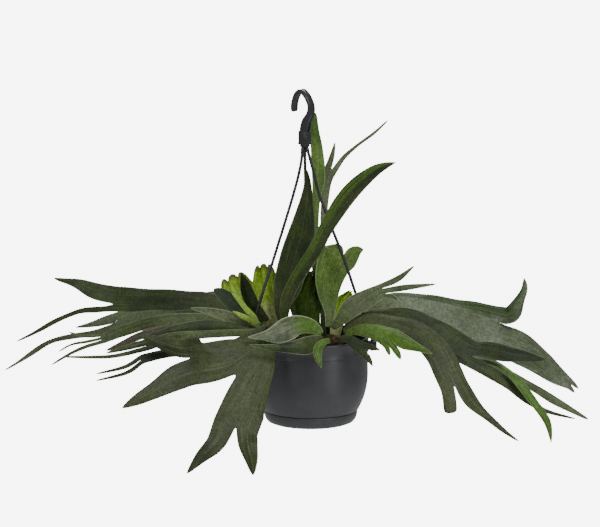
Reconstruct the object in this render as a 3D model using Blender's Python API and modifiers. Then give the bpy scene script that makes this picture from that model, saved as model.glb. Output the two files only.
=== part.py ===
"""Staghorn fern in a hanging pot: a moulded pot, saucer and hanger, soil, two crowns and the fern's fronds.

The origin is the hook's inner seat, where the whole thing hangs. Sizes below are in millimetres.
"""
import math

import bmesh
import bpy
from mathutils import Vector

MM = 0.001
GAP = 0.4                      # clearance between pieces that touch

# Pot, measured from the centre of its rim
RIM_RADIUS = 73.0
WALL = 2.2
COLLAR_HEIGHT = 19.0
BELLY_RADIUS = 72.0
BELLY_TOP = -48.0              # where the belly is widest
BELLY_HALF_HEIGHT = 83.0       # half height of the ellipse that the belly follows
POT_BOTTOM = -94.0
FOOT_RADIUS = 46.0
FOOT_BOTTOM = -106.5
ROUND_STEPS = 32

# Ears that the hanger's arms clip into
EAR_ANGLES = {"left": 194.0, "right": 346.0, "back": 90.0}
EAR_RADIUS = 79.0
EAR_LENGTH = 16.0
EAR_WIDTH = 12.0
EAR_TOP = -4.0
EAR_HEIGHT = 8.0
EAR_HOLE = 2.6

# Saucer
SAUCER_RADIUS = 59.0
SAUCER_BASE_RADIUS = 51.0
SAUCER_TOP = -95.0
SAUCER_BOTTOM = -110.0
SAUCER_FLOOR = 3.0

# Hanger
HEAD_X = -7.5
HEAD_TOP = 258.5
HEAD_BOTTOM = 238.5
HEAD_WIDTH = 14.0
STRAP_WIDTH = 10.0
STRAP_THICK = 5.0
HOOK_TURN = -40.0
ARM_RADIUS = 1.9
ARM_KNOB = 1.6                 # how much thicker an arm's end knob is
SEAT_ALONG = -4.5              # the hook's seat, along the hook's own plane
SEAT_HEIGHT = 306.0

SOIL_TOP = -13.0
FROND_THICK = 1.6
ROWS_PER_SPAN = 2
SWING_DROP = 0.194             # how far a frond sinks for each millimetre that it swings back

TURN = math.radians(HOOK_TURN)
# Where the rim's centre lies, seen from the hook's seat
RIM_CENTRE = Vector((
    -(HEAD_X + SEAT_ALONG * math.cos(TURN)),
    -SEAT_ALONG * math.sin(TURN),
    -SEAT_HEIGHT,
))

# Way each group of blades faces
TOWARDS_FRONT = (0.0, -1.0, 0.2)
TILTED_UP = (0.0, -0.8, 0.6)
TOWARDS_BACK = (0.0, 0.5, 0.86)

# Colours
DARK_PLASTIC = (0.035, 0.037, 0.040)
BLACK_PLASTIC = (0.012, 0.012, 0.013)
BARK = (0.060, 0.034, 0.020)
CROWN_BROWN = (0.110, 0.050, 0.028)
OLIVE = (0.065, 0.095, 0.030)
DEEP_GREEN = (0.045, 0.085, 0.028)
GREY_GREEN = (0.200, 0.240, 0.150)
BRIGHT_GREEN = (0.120, 0.260, 0.030)
LIME = (0.320, 0.460, 0.070)
PURPLE_BROWN = (0.100, 0.075, 0.055)
BLUE_GREEN = (0.030, 0.065, 0.050)


def blade(points, *lobes):
    """A stretch of frond: (x, y, z, width) along its middle, then the lobes that it divides into."""
    return points, lobes


# Each frond: colour, the way it faces, how far it swings back for each millimetre of its reach, and its blade
# before it swings, measured from the centre of the rim
FRONDS = {
    "frond_front_left": (OLIVE, TOWARDS_FRONT, -0.30, blade(
        [(-46, -48, 10, 8), (-54, -62, 9, 26), (-69, -74, -10, 64), (-92, -84, -31, 110)],
        blade([(-146, -90, -14, 60)],
              blade([(-160, -88, 2, 24), (-182, -84, 8, 18), (-198, -81, 13, 10), (-211, -79, 17, 3)]),
              blade([(-166, -94, -34, 32), (-190, -96, -48, 22), (-213, -98, -60, 14), (-231, -98, -70, 3)])),
        blade([(-92, -97, -94, 58)],
              blade([(-117, -101, -114, 24), (-134, -103, -130, 16), (-152, -104, -151, 3)]),
              blade([(-77, -102, -117, 24), (-73, -102, -134, 17), (-71, -101, -154, 4)])))),
    "frond_front_grey": (GREY_GREEN, TOWARDS_FRONT, 0.0, blade(
        [(14, -56, 12, 7), (2, -58, 22, 18), (-16, -64, 26, 24), (-29, -72, 22, 30), (-44, -80, 17, 24),
         (-58, -85, 16, 11), (-78, -88, 15, 2)])),
    "frond_front_low": (BRIGHT_GREEN, TOWARDS_FRONT, -0.10, blade(
        [(16, -66, 8, 7), (7, -74, 9, 14), (-3, -84, 4, 24), (-25, -92, 3, 15), (-53, -94, 4, 7),
         (-76, -94, 7, 2)])),
    "frond_front_drop": (BRIGHT_GREEN, TOWARDS_FRONT, -0.30, blade(
        [(24, -68, 6, 6), (18, -84, 9, 8), (10, -94, 5, 12), (8, -98, -5, 11), (13, -100, -21, 2)])),
    "frond_front_right": (DEEP_GREEN, TOWARDS_FRONT, -0.30, blade(
        [(34, -58, 6, 6), (46, -70, 9, 12), (62, -80, 0, 16)],
        blade([(74, -84, 2, 8), (85, -86, -1, 2)]),
        blade([(70, -86, -10, 8), (76, -90, -21, 2)]))),
    "frond_right_toothed": (BRIGHT_GREEN, TILTED_UP, -0.25, blade(
        [(42, -48, 11, 7), (58, -58, 19, 15), (80, -68, 19, 22), (98, -76, 13, 30)],
        blade([(114, -82, 9, 20), (131, -88, 3, 12), (149, -90, -5, 2)]),
        blade([(107, -84, -5, 8), (110, -88, -13, 2)]),
        blade([(95, -84, -1, 7), (97, -86, -8, 2)]))),
    "frond_right_silver": (GREY_GREEN, TOWARDS_FRONT, -0.08, blade(
        [(27, -30, 14, 7), (37, -34, 26, 15), (51, -38, 43, 25), (69, -42, 54, 24), (88, -44, 65, 18)],
        blade([(108, -44, 80, 8), (128, -42, 96, 2)]),
        blade([(116, -50, 70, 8), (155, -52, 75, 2)]),
        blade([(101, -54, 60, 6), (109, -57, 54, 2)]))),
    "frond_right_lower": (OLIVE, TILTED_UP, -0.30, blade(
        [(40, -38, 12, 7), (68, -44, 28, 16), (105, -50, 24, 24), (136, -55, 12, 32), (158, -60, -10, 36),
         (168, -64, -30, 36), (176, -67, -48, 36)],
        blade([(196, -71, -66, 18), (211, -74, -81, 12), (232, -78, -99, 7), (254, -80, -115, 2)]),
        blade([(170, -69, -64, 17), (171, -70, -74, 17), (172, -70, -83, 16)]))),
    "frond_right_middle": (OLIVE, TILTED_UP, -0.10, blade(
        [(42, -22, 14, 7), (80, -26, 30, 18), (120, -30, 29, 26), (156, -36, 14, 30), (196, -44, -12, 38)],
        blade([(238, -46, -12, 24), (270, -48, -18, 14), (292, -50, -21, 2)]),
        blade([(222, -50, -36, 17), (246, -54, -51, 15), (270, -58, -71, 10), (292, -60, -84, 6),
               (327, -62, -93, 2)]))),
    "frond_right_upper": (GREY_GREEN, TILTED_UP, 0.35, blade(
        [(42, -2, 14, 8), (68, 2, 32, 22), (111, 4, 41, 28), (149, 2, 33, 40), (191, -2, 22, 52),
         (236, -6, 8, 68)],
        blade([(254, -8, 26, 26), (265, -8, 46, 13), (272, -7, 60, 9), (271, -6, 74, 2)]),
        blade([(265, -12, -14, 46), (292, -16, -33, 36), (316, -18, -51, 26), (331, -19, -62, 16)],
              blade([(342, -20, -68, 4)]),
              blade([(337, -20, -73, 4)])))),
    "frond_right_outer": (BRIGHT_GREEN, TILTED_UP, 0.0, blade(
        [(44, 16, 12, 7), (90, 18, 18, 16), (150, 8, 2, 20), (196, -16, -22, 20)],
        blade([(226, -14, -37, 10), (252, -12, -49, 11), (280, -14, -65, 11), (312, -16, -84, 11),
               (348, -18, -105, 3)]),
        blade([(224, -46, -25, 8), (240, -70, -28, 8), (256, -90, -40, 11), (278, -100, -67, 11),
               (293, -104, -90, 9), (297, -106, -114, 2)]))),
    "frond_left_upper": (DEEP_GREEN, TILTED_UP, 0.28, blade(
        [(-60, 6, 14, 8), (-84, 8, 27, 20), (-130, 12, 40, 26), (-190, 14, 42, 31), (-248, 14, 43, 36)],
        blade([(-272, 10, 54, 24), (-296, 5, 64, 14), (-325, 0, 72, 3)]),
        blade([(-270, 13, 29, 9), (-294, 10, 27, 7), (-325, 6, 15, 7), (-350, 2, 1, 5),
               (-374, 0, -10, 2)]))),
    "frond_left_middle": (GREY_GREEN, TILTED_UP, 0.55, blade(
        [(-58, 17, 10, 7), (-95, 15, 18, 15), (-140, 24, 22, 24), (-200, 32, 15, 32), (-246, 34, 10, 34)],
        blade([(-276, 34, 6, 10), (-302, 30, 1, 2)]),
        blade([(-276, 30, -6, 11), (-308, 24, -9, 8), (-332, 18, -14, 7), (-350, 12, -22, 8),
               (-374, 6, -38, 5), (-395, 0, -50, 2)]))),
    "frond_left_green": (BRIGHT_GREEN, TILTED_UP, 0.08, blade(
        [(-72, -6, 10, 8), (-90, -8, 16, 14), (-120, -8, 21, 17), (-164, -8, 22, 17), (-200, -8, 18, 16),
         (-238, -9, 6, 15), (-260, -9, -3, 13)],
        blade([(-284, -6, -1, 4), (-304, -4, 4, 2)]),
        blade([(-280, -10, -7, 4), (-300, -12, -10, 3), (-316, -14, -19, 2)]),
        blade([(-284, -15, -13, 5), (-306, -18, -23, 4), (-325, -20, -35, 2)]))),
    "frond_left_pale": (PURPLE_BROWN, TILTED_UP, -0.10, blade(
        [(-68, -24, 12, 7), (-92, -24, 12, 10), (-122, -24, 15, 12), (-160, -25, 15, 12), (-205, -26, 7, 11),
         (-238, -27, -7, 8), (-255, -27, -14, 2)])),
    "frond_left_dark": (DEEP_GREEN, TOWARDS_FRONT, -0.20, blade(
        [(-64, -33, 13, 7), (-98, -37, 17, 14), (-132, -41, 20, 15), (-165, -46, 17, 12), (-190, -48, 11, 7),
         (-208, -48, 9, 2)])),
    "frond_left_low": (BRIGHT_GREEN, TOWARDS_FRONT, -0.28, blade(
        [(-58, -39, 13, 6), (-88, -45, 12, 9), (-132, -50, 11, 10), (-170, -56, 9, 12), (-200, -60, 1, 15)],
        blade([(-228, -61, -3, 7), (-252, -59, -10, 2)]),
        blade([(-240, -66, -12, 5), (-270, -68, -13, 4), (-303, -70, -12, 2)]))),
    "frond_left_lowest": (DEEP_GREEN, TOWARDS_FRONT, -0.32, blade(
        [(-56, -42, 20, 5), (-78, -47, 9, 8), (-102, -54, -2, 10), (-142, -62, -7, 10), (-178, -67, -9, 11),
         (-207, -70, -15, 12)],
        blade([(-228, -74, -24, 5), (-263, -76, -32, 2)]),
        blade([(-226, -71, -32, 5), (-263, -69, -42, 2)]))),
    "leaf_left_long": (GREY_GREEN, TOWARDS_FRONT, -0.10, blade(
        [(-62, -28, 18, 6), (-88, -30, 25, 12), (-107, -32, 31, 14), (-128, -33, 37, 9),
         (-150, -34, 41, 2)])),
    "leaf_left_broad": (BLUE_GREEN, TOWARDS_FRONT, 0.0, blade(
        [(-66, -14, 18, 7), (-88, -15, 33, 18), (-101, -16, 47, 20), (-112, -17, 56, 15),
         (-121, -18, 62, 5)])),
    "leaf_left_upright": (DEEP_GREEN, TOWARDS_FRONT, 0.10, blade(
        [(-54, 0, 18, 7), (-71, -4, 38, 15), (-79, -5, 54, 17), (-83, -6, 68, 11), (-87, -6, 80, 2)])),
    "leaf_left_young": (LIME, TOWARDS_FRONT, -0.20, blade(
        [(-66, -42, 21, 6), (-73, -44, 30, 13)],
        blade([(-79, -43, 40, 7), (-89, -43, 52, 5), (-98, -43, 62, 2)]),
        blade([(-84, -43, 32, 7), (-97, -43, 39, 2)]))),
    "frond_centre_tall": (DEEP_GREEN, TOWARDS_FRONT, 0.0, blade(
        [(-36, 2, 14, 8), (-36, 3, 38, 22), (-29, 4, 62, 36), (-20, 5, 97, 38), (-12, 6, 124, 36),
         (-8, 7, 148, 27), (-5, 6, 173, 16), (-4, 5, 193, 9), (-7, 4, 210, 6)])),
    "frond_centre_strap": (OLIVE, TOWARDS_FRONT, -0.25, blade(
        [(-34, -10, 14, 8), (-31, -13, 45, 15), (-21, -16, 69, 16), (-8, -20, 91, 17), (6, -22, 113, 18),
         (17, -22, 136, 18), (40, -20, 173, 22), (61, -16, 196, 20), (83, -12, 212, 13), (104, -8, 219, 2)])),
    "frond_centre_light": (GREY_GREEN, TOWARDS_FRONT, 0.10, blade(
        [(22, -14, 12, 8), (24, -4, 30, 14), (22, 0, 50, 26), (23, 2, 70, 36), (28, 2, 88, 43),
         (34, 2, 99, 50)],
        blade([(28, 6, 107, 30), (27, 10, 113, 20)]),
        blade([(54, 0, 105, 19), (66, -2, 109, 5)]))),
    "frond_back_tall": (BRIGHT_GREEN, TOWARDS_FRONT, 0.18, blade(
        [(8, 26, -11, 8), (7, 28, 55, 9), (5, 28, 110, 9), (7, 28, 166, 10), (10, 27, 194, 17),
         (8, 26, 230, 16), (5, 25, 258, 11), (6, 24, 279, 4)])),
    "frond_back_forked": (GREY_GREEN, TOWARDS_FRONT, 0.30, blade(
        [(16, 40, -11, 7), (15, 45, 70, 8), (16, 47, 130, 8), (20, 46, 184, 12), (25, 46, 202, 17)],
        blade([(27, 45, 220, 7), (31, 44, 239, 2)]),
        blade([(42, 46, 219, 6), (61, 46, 236, 4), (80, 46, 250, 4), (98, 46, 267, 2)]))),
    "frond_back_left": (DEEP_GREEN, TOWARDS_BACK, 0.0, blade(
        [(-40, 36, -11, 8), (-60, 58, 24, 14), (-78, 84, 33, 22), (-92, 108, 32, 32)],
        blade([(-118, 128, 30, 18), (-146, 150, 18, 14), (-170, 174, -6, 9), (-184, 188, -34, 2)]),
        blade([(-92, 144, 20, 18), (-92, 176, -4, 13), (-86, 200, -36, 8), (-80, 210, -66, 2)]))),
    "frond_back_right": (DEEP_GREEN, TOWARDS_BACK, 0.0, blade(
        [(34, 44, -11, 8), (46, 68, 20, 14), (58, 94, 28, 22), (68, 118, 26, 30)],
        blade([(94, 142, 18, 17), (118, 164, -2, 12), (134, 178, -34, 2)]),
        blade([(62, 154, 12, 17), (56, 184, -12, 13), (50, 204, -44, 8), (48, 212, -72, 2)]))),
    "shield_left_outer": (LIME, TOWARDS_FRONT, 0.0, blade(
        [(-44, 30, -10, 12), (-52, 35, 8, 18), (-72, 43, 27, 31), (-90, 48, 45, 44), (-98, 50, 61, 40)])),
    "shield_left_inner": (LIME, TOWARDS_FRONT, 0.0, blade(
        [(-42, 14, 12, 12), (-48, 20, 35, 28), (-56, 24, 58, 34), (-59, 25, 80, 28)])),
    "shield_middle": (BRIGHT_GREEN, TOWARDS_FRONT, 0.0, blade(
        [(-2, 12, -11, 12), (-6, 13, 16, 30), (-6, 13, 36, 42), (-1, 13, 56, 36), (5, 13, 72, 20)])),
    "shield_right": (LIME, TOWARDS_FRONT, 0.0, blade(
        [(30, 18, -11, 12), (36, 26, 28, 20), (43, 28, 40, 18), (48, 28, 46, 8)])),
}


def clear_scene():
    """Remove the objects that a new file starts with."""
    for item in list(bpy.data.objects):
        bpy.data.objects.remove(item, do_unlink=True)


def collection(name):
    """A new collection in the scene."""
    group = bpy.data.collections.new(name)
    bpy.context.scene.collection.children.link(group)
    return group


def material(name, colour, roughness, metallic=0.0):
    """A plain surface with one colour."""
    surface = bpy.data.materials.new(name)
    surface.use_nodes = True
    shader = surface.node_tree.nodes["Principled BSDF"]
    shader.inputs["Base Color"].default_value = (*colour, 1.0)
    shader.inputs["Roughness"].default_value = roughness
    shader.inputs["Metallic"].default_value = metallic
    return surface


def add_object(name, data, group, surface=None):
    """Link new data as an object whose own origin is the centre of the rim."""
    item = bpy.data.objects.new(name, data)
    item.location = RIM_CENTRE * MM
    group.objects.link(item)
    if surface:
        data.materials.append(surface)
    return item


def turned(name, profile, group, surface):
    """A profile of (radius, height) turned about the vertical axis."""
    mesh = bpy.data.meshes.new(name)
    points = [(radius * MM, 0.0, height * MM) for radius, height in profile]
    mesh.from_pydata(points, [(i, i + 1) for i in range(len(points) - 1)], [])
    item = add_object(name, mesh, group, surface)
    screw = item.modifiers.new("Turn", "SCREW")
    screw.steps = ROUND_STEPS
    screw.render_steps = ROUND_STEPS
    screw.use_merge_vertices = True
    screw.merge_threshold = 0.00001
    return item


def belly_radius(height, inset=0.0):
    """The pot's belly is an ellipse below its widest place."""
    if height >= BELLY_TOP:
        return BELLY_RADIUS - inset
    fall = (height - BELLY_TOP) / BELLY_HALF_HEIGHT
    return BELLY_RADIUS * math.sqrt(1.0 - fall * fall) - inset


def belly_heights(top, bottom, count=6):
    """Even steps down the belly."""
    return [top + (bottom - top) * i / count for i in range(count + 1)]


def boolean(item, other, operation):
    """Join or cut one object with another, which stays as a hidden helper."""
    change = item.modifiers.new(operation.title(), "BOOLEAN")
    change.object = other
    change.operation = operation


def helper(name, mesh_maker, group, location, angle=0.0):
    """A hidden solid that another piece is joined with or cut by."""
    mesh = bpy.data.meshes.new(name)
    bm = bmesh.new()
    mesh_maker(bm)
    bm.to_mesh(mesh)
    bm.free()
    item = bpy.data.objects.new(name, mesh)
    item.location = location
    item.rotation_euler.z = angle
    item.hide_render = True
    item.display_type = "WIRE"
    group.objects.link(item)
    return item


def ear_place(side, height):
    """The middle of an ear's hole, at a height above the rim."""
    angle = math.radians(EAR_ANGLES[side])
    return Vector((EAR_RADIUS * math.cos(angle), EAR_RADIUS * math.sin(angle), height))


def make_pot(group, cutters):
    """The pot: collar, belly and foot in one wall, with three ears."""
    inner_floor = FOOT_BOTTOM + WALL
    inner = [(0.0, inner_floor), (FOOT_RADIUS - WALL, inner_floor), (FOOT_RADIUS - WALL, POT_BOTTOM + WALL)]
    for height in reversed(belly_heights(BELLY_TOP, POT_BOTTOM + WALL)):
        inner.append((belly_radius(height, WALL), height))
    inner.append((RIM_RADIUS - WALL, 0.0))
    outer = [(RIM_RADIUS, 0.0), (RIM_RADIUS, -COLLAR_HEIGHT), (BELLY_RADIUS - 0.5, -COLLAR_HEIGHT - 1.0)]
    for height in belly_heights(BELLY_TOP, POT_BOTTOM):
        outer.append((belly_radius(height), height))
    outer += [(FOOT_RADIUS, POT_BOTTOM), (FOOT_RADIUS, FOOT_BOTTOM), (0.0, FOOT_BOTTOM)]
    pot = turned("pot", inner + outer, group, material("dark_plastic", DARK_PLASTIC, 0.42))
    for side, degrees in EAR_ANGLES.items():
        middle = ear_place(side, EAR_TOP - EAR_HEIGHT / 2)

        def block(bm):
            bmesh.ops.create_cube(bm, size=1.0)
            size = Vector((EAR_LENGTH, EAR_WIDTH, EAR_HEIGHT)) * MM
            bmesh.ops.scale(bm, vec=size, verts=bm.verts)

        def hole(bm):
            bmesh.ops.create_cone(bm, cap_ends=True, segments=12, radius1=EAR_HOLE * MM,
                                  radius2=EAR_HOLE * MM, depth=3 * EAR_HEIGHT * MM)

        place = (RIM_CENTRE + middle) * MM
        ear = helper(f"ear_{side}", block, cutters, place, math.radians(degrees))
        boolean(pot, ear, "UNION")
        boolean(pot, helper(f"ear_hole_{side}", hole, cutters, place), "DIFFERENCE")


def make_saucer(group):
    """A round dish that the pot's foot stands in."""
    floor = SAUCER_BOTTOM + SAUCER_FLOOR
    drop = SAUCER_TOP - SAUCER_BOTTOM

    def side(t, inset):
        """Radius of the wall, which curves inwards as it goes down."""
        return SAUCER_BASE_RADIUS + (SAUCER_RADIUS - SAUCER_BASE_RADIUS) * math.sqrt(1.0 - t * t) - inset

    steps = [i / 5 for i in range(6)]
    inside = [(0.0, floor)]
    for t in reversed(steps[:5]):
        inside.append((side(t, WALL), max(floor, SAUCER_TOP - t * drop)))
    outside = [(side(t, 0.0), SAUCER_TOP - t * drop) for t in steps]
    profile = inside + outside + [(0.0, SAUCER_BOTTOM)]
    turned("saucer", profile, group, material("saucer_plastic", DARK_PLASTIC, 0.38))


def make_soil(group):
    """Potting bark that fills the pot to below its rim."""
    bottom = POT_BOTTOM + WALL + GAP
    inset = WALL + GAP
    outside = [(0.0, SOIL_TOP), (30.0, SOIL_TOP), (belly_radius(SOIL_TOP, inset + 1.0), SOIL_TOP - 1.0)]
    for height in belly_heights(BELLY_TOP, bottom):
        outside.append((belly_radius(height, inset + 0.4), height))
    outside.append((0.0, bottom))
    turned("soil", outside, group, material("bark", BARK, 0.95))


def strap_curve(name, points, group, surface):
    """A flat moulded strap along points in the hook's own plane."""
    curve = bpy.data.curves.new(name, "CURVE")
    curve.dimensions = "2D"
    curve.fill_mode = "BOTH"
    curve.extrude = STRAP_WIDTH / 2 * MM
    spline = curve.splines.new("POLY")
    spline.points.add(len(points) - 1)
    for target, (along, height) in zip(spline.points, points):
        target.co = (along * MM, height * MM, 0.0, 1.0)
    spline.use_cyclic_u = True
    item = add_object(name, curve, group, surface)
    item.location = (RIM_CENTRE + Vector((HEAD_X, 0.0, 0.0))) * MM
    item.rotation_euler = (math.radians(90.0), 0.0, TURN)
    return item


def between(a, b, c, d, t):
    """A value part of the way from b to c on a smooth curve that also meets a and d."""
    bend = (2 * a - 5 * b + 4 * c - d) * t * t
    turn = (3 * b - a - 3 * c + d) * t ** 3
    return 0.5 * (2 * b + (c - a) * t + bend + turn)


def smooth_path(points, steps):
    """A smooth curve through points of any size, as tuples."""
    ends = [tuple(2 * a - b for a, b in zip(points[0], points[1]))]
    last = [tuple(2 * a - b for a, b in zip(points[-1], points[-2]))]
    chain = ends + [tuple(p) for p in points] + last
    path = []
    for i in range(1, len(chain) - 2):
        for step in range(steps):
            t = step / steps
            path.append(tuple(between(a, b, c, d, t) for a, b, c, d in zip(*chain[i - 1:i + 3])))
    path.append(tuple(points[-1]))
    return path


def make_hook(group):
    """The hook and the head that holds the arms, cut from one strap."""
    centre = [(-17, 281.5), (-16.5, 291.5), (-12, 303.5), (SEAT_ALONG, SEAT_HEIGHT + STRAP_THICK / 2),
              (4, 302.5), (10, 291.5), (9, 280.5), (3, 270.5), (0, HEAD_TOP)]
    line = smooth_path(centre, 3)
    left, right = [], []
    for i, (along, height) in enumerate(line):
        before, after = line[max(i - 1, 0)], line[min(i + 1, len(line) - 1)]
        way = Vector((after[0] - before[0], after[1] - before[1])).normalized()
        left.append((along - way.y * STRAP_THICK / 2, height + way.x * STRAP_THICK / 2))
        right.append((along + way.y * STRAP_THICK / 2, height - way.x * STRAP_THICK / 2))
    half = HEAD_WIDTH / 2
    head = [(half, HEAD_TOP - 1), (half, HEAD_BOTTOM + 3), (half - 3, HEAD_BOTTOM),
            (3 - half, HEAD_BOTTOM), (-half, HEAD_BOTTOM + 3), (-half, HEAD_TOP - 1)]
    outline = left + head + right[::-1]
    strap_curve("hanger_hook", outline, group, material("black_plastic", BLACK_PLASTIC, 0.35))


def make_arm(side, bends, group, surface):
    """A thin rod from under the head to its ear, ending in a knob below the ear."""
    foot = ear_place(side, EAR_TOP + 2)
    under = ear_place(side, EAR_TOP - EAR_HEIGHT)
    route = smooth_path([*bends, tuple(foot)], 3)
    stops = [(*p, 1.0) for p in route]
    stops.append((under.x, under.y, under.z - 0.2, 1.0))
    stops.append((under.x, under.y, under.z - 1.6, ARM_KNOB))
    stops.append((under.x, under.y, under.z - 4.6, ARM_KNOB))
    curve = bpy.data.curves.new(f"hanger_arm_{side}", "CURVE")
    curve.dimensions = "3D"
    curve.bevel_depth = ARM_RADIUS * MM
    curve.bevel_resolution = 1
    curve.use_fill_caps = True
    spline = curve.splines.new("POLY")
    spline.points.add(len(stops) - 1)
    for target, (x, y, z, thick) in zip(spline.points, stops):
        target.co = (x * MM, y * MM, z * MM, 1.0)
        target.radius = thick
    add_object(f"hanger_arm_{side}", curve, group, surface)


def make_arms(group):
    """Three rods that spread from the head, each with a slight bow."""
    surface = material("arm_plastic", BLACK_PLASTIC, 0.35)
    top = HEAD_BOTTOM - 2 * GAP
    bends = {
        "left": [(-10, -1, top), (-13, -2, 214), (-23, -6, 175), (-47, -13, 97), (-60, -17, 57)],
        "right": [(-5, -1, top), (4, -3, 205), (12, -6, 175), (42, -13, 97), (57, -17, 53)],
        "back": [(-7.5, 3, top), (-7, 14, 205), (-6, 27, 164), (-3, 53, 81)],
    }
    for side, route in bends.items():
        make_arm(side, route, group, surface)


def make_crown(name, middle, radii, group, surface):
    """A scaly rhizome, here its plain rounded body."""
    mesh = bpy.data.meshes.new(name)
    bm = bmesh.new()
    bmesh.ops.create_uvsphere(bm, u_segments=14, v_segments=8, radius=1.0)
    bmesh.ops.scale(bm, vec=Vector(radii) * MM, verts=bm.verts)
    bmesh.ops.translate(bm, vec=Vector(middle) * MM, verts=bm.verts)
    bm.to_mesh(mesh)
    bm.free()
    mesh.shade_smooth()
    add_object(name, mesh, group, surface)


def lobe_count(part):
    """How many tips a stretch of frond ends in."""
    lobes = part[1]
    return sum(lobe_count(lobe) for lobe in lobes) if lobes else 1


def swung(part, swing, reach=0.0, before=None):
    """A stretch and its lobes, moved back and down in proportion to how far they reach from the stalk."""
    points, lobes = part
    moved = []
    for x, y, z, width in points:
        if before:
            reach += math.dist(before, (x, z))
        before = (x, z)
        moved.append((x, y + swing * reach, z - SWING_DROP * swing * reach, width))
    return moved, [swung(lobe, swing, reach, before) for lobe in lobes]


def side_of(way, face):
    """The direction across a blade that grows one way and faces another."""
    return way.cross(face).normalized()


def row_places(centre, side, width, shares):
    """Places across a blade, at each share of its width."""
    return [centre + side * width * (share - 0.5) for share in shares]


def across(part, start, face):
    """A stretch's lobes in order across it, and the share of its width at each column."""
    points, lobes = part
    if not lobes:
        return [], [0.0, 0.5, 1.0]
    end = Vector(points[-1][:3])
    before = Vector(points[-2][:3]) if len(points) > 1 else start
    side = side_of(end - before, face)
    order = sorted(lobes, key=lambda lobe: (Vector(lobe[0][0][:3]) - end).dot(side))
    total = sum(lobe[0][0][3] for lobe in order)
    shares = [0.0]
    for lobe in order:
        columns = 2 * lobe_count(lobe)
        begin = shares[-1]
        part_share = lobe[0][0][3] / total
        shares += [begin + part_share * (i + 1) / columns for i in range(columns)]
    return order, shares


def grow(bm, row, part, face):
    """Extrude a row of vertices along a stretch of frond, then along each of its lobes."""
    middle = (row[0].co + row[-1].co) / 2 / MM
    width = (row[0].co - row[-1].co).length / MM
    order, shares = across(part, middle, face)
    path = smooth_path([(*middle, width), *part[0]], ROWS_PER_SPAN)
    for i in range(1, len(path)):
        centre = Vector(path[i][:3])
        after = Vector(path[min(i + 1, len(path) - 1)][:3])
        side = side_of(after - Vector(path[i - 1][:3]), face)
        edges = [bm.edges.get((a, b)) for a, b in zip(row, row[1:])]
        made = bmesh.ops.extrude_edge_only(bm, edges=edges)["geom"]
        fresh = {item for item in made if isinstance(item, bmesh.types.BMVert)}
        row = [next(e.other_vert(v) for e in v.link_edges if e.other_vert(v) in fresh) for v in row]
        for vertex, place in zip(row, row_places(centre, side, path[i][3], shares)):
            vertex.co = place * MM
    first = 0
    for lobe in order:
        columns = 2 * lobe_count(lobe)
        grow(bm, row[first:first + columns + 1], lobe, face)
        first += columns


def make_frond(name, colour, face, swing, part, group):
    """A frond: one sheet grown from its stalk to all its tips, then given its thickness."""
    face = Vector(face).normalized()
    part = swung(part, swing)
    points = part[0]
    start = Vector(points[0][:3])
    side = side_of(Vector(points[1][:3]) - start, face)
    shares = across(part, start, face)[1]
    mesh = bpy.data.meshes.new(name)
    bm = bmesh.new()
    row = [bm.verts.new(place * MM) for place in row_places(start, side, points[0][3], shares)]
    for a, b in zip(row, row[1:]):
        bm.edges.new((a, b))
    grow(bm, row, (points[1:], part[1]), face)
    bm.to_mesh(mesh)
    bm.free()
    mesh.shade_smooth()
    item = add_object(name, mesh, group, material(f"{name}_leaf", colour, 0.55))
    shell = item.modifiers.new("Thickness", "SOLIDIFY")
    shell.thickness = FROND_THICK * MM
    shell.offset = 0.0


def main():
    """Build every piece."""
    clear_scene()
    group = collection("staghorn_fern")
    cutters = collection("cutters")
    make_pot(group, cutters)
    make_saucer(group)
    make_soil(group)
    make_hook(group)
    make_arms(group)
    scales = material("crown_scales", CROWN_BROWN, 0.9)
    make_crown("crown_left", (-46, -8, 1), (20, 14, 12), group, scales)
    make_crown("crown_right", (25, -43, -1), (13, 12, 10), group, scales)
    for name, (colour, face, swing, part) in FRONDS.items():
        make_frond(name, colour, face, swing, part, group)


main()
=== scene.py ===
"""Looks for a staghorn fern in a hanging pot, built around the frame."""

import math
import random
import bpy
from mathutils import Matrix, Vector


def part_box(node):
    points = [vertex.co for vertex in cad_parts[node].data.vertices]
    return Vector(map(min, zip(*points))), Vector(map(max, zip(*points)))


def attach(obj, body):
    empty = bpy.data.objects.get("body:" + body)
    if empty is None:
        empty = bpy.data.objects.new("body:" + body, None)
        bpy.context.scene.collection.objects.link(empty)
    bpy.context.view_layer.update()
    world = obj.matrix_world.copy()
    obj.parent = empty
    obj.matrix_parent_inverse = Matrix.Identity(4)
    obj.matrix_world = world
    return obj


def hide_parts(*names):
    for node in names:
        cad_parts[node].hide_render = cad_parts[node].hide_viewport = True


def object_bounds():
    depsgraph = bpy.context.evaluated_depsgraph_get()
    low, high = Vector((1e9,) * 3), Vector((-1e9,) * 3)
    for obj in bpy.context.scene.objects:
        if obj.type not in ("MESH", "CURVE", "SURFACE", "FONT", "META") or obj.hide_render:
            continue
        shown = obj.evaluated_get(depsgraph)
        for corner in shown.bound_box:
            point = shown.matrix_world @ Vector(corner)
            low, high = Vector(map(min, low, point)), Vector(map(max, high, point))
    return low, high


bl_info = {
    "name": "Staghorn fern in a hanging pot",
    "version": (1, 0, 0),
    "blender": (4, 5, 0),
    "location": "View3D > Sidebar > Fern",
    "description": "Builds a staghorn fern with its pot, saucer, hanger and bark",
    "category": "Add Mesh",
}

import bmesh
import bpy
from bpy.props import FloatProperty, FloatVectorProperty, IntProperty, PointerProperty
from mathutils import Matrix, Vector, noise

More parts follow.
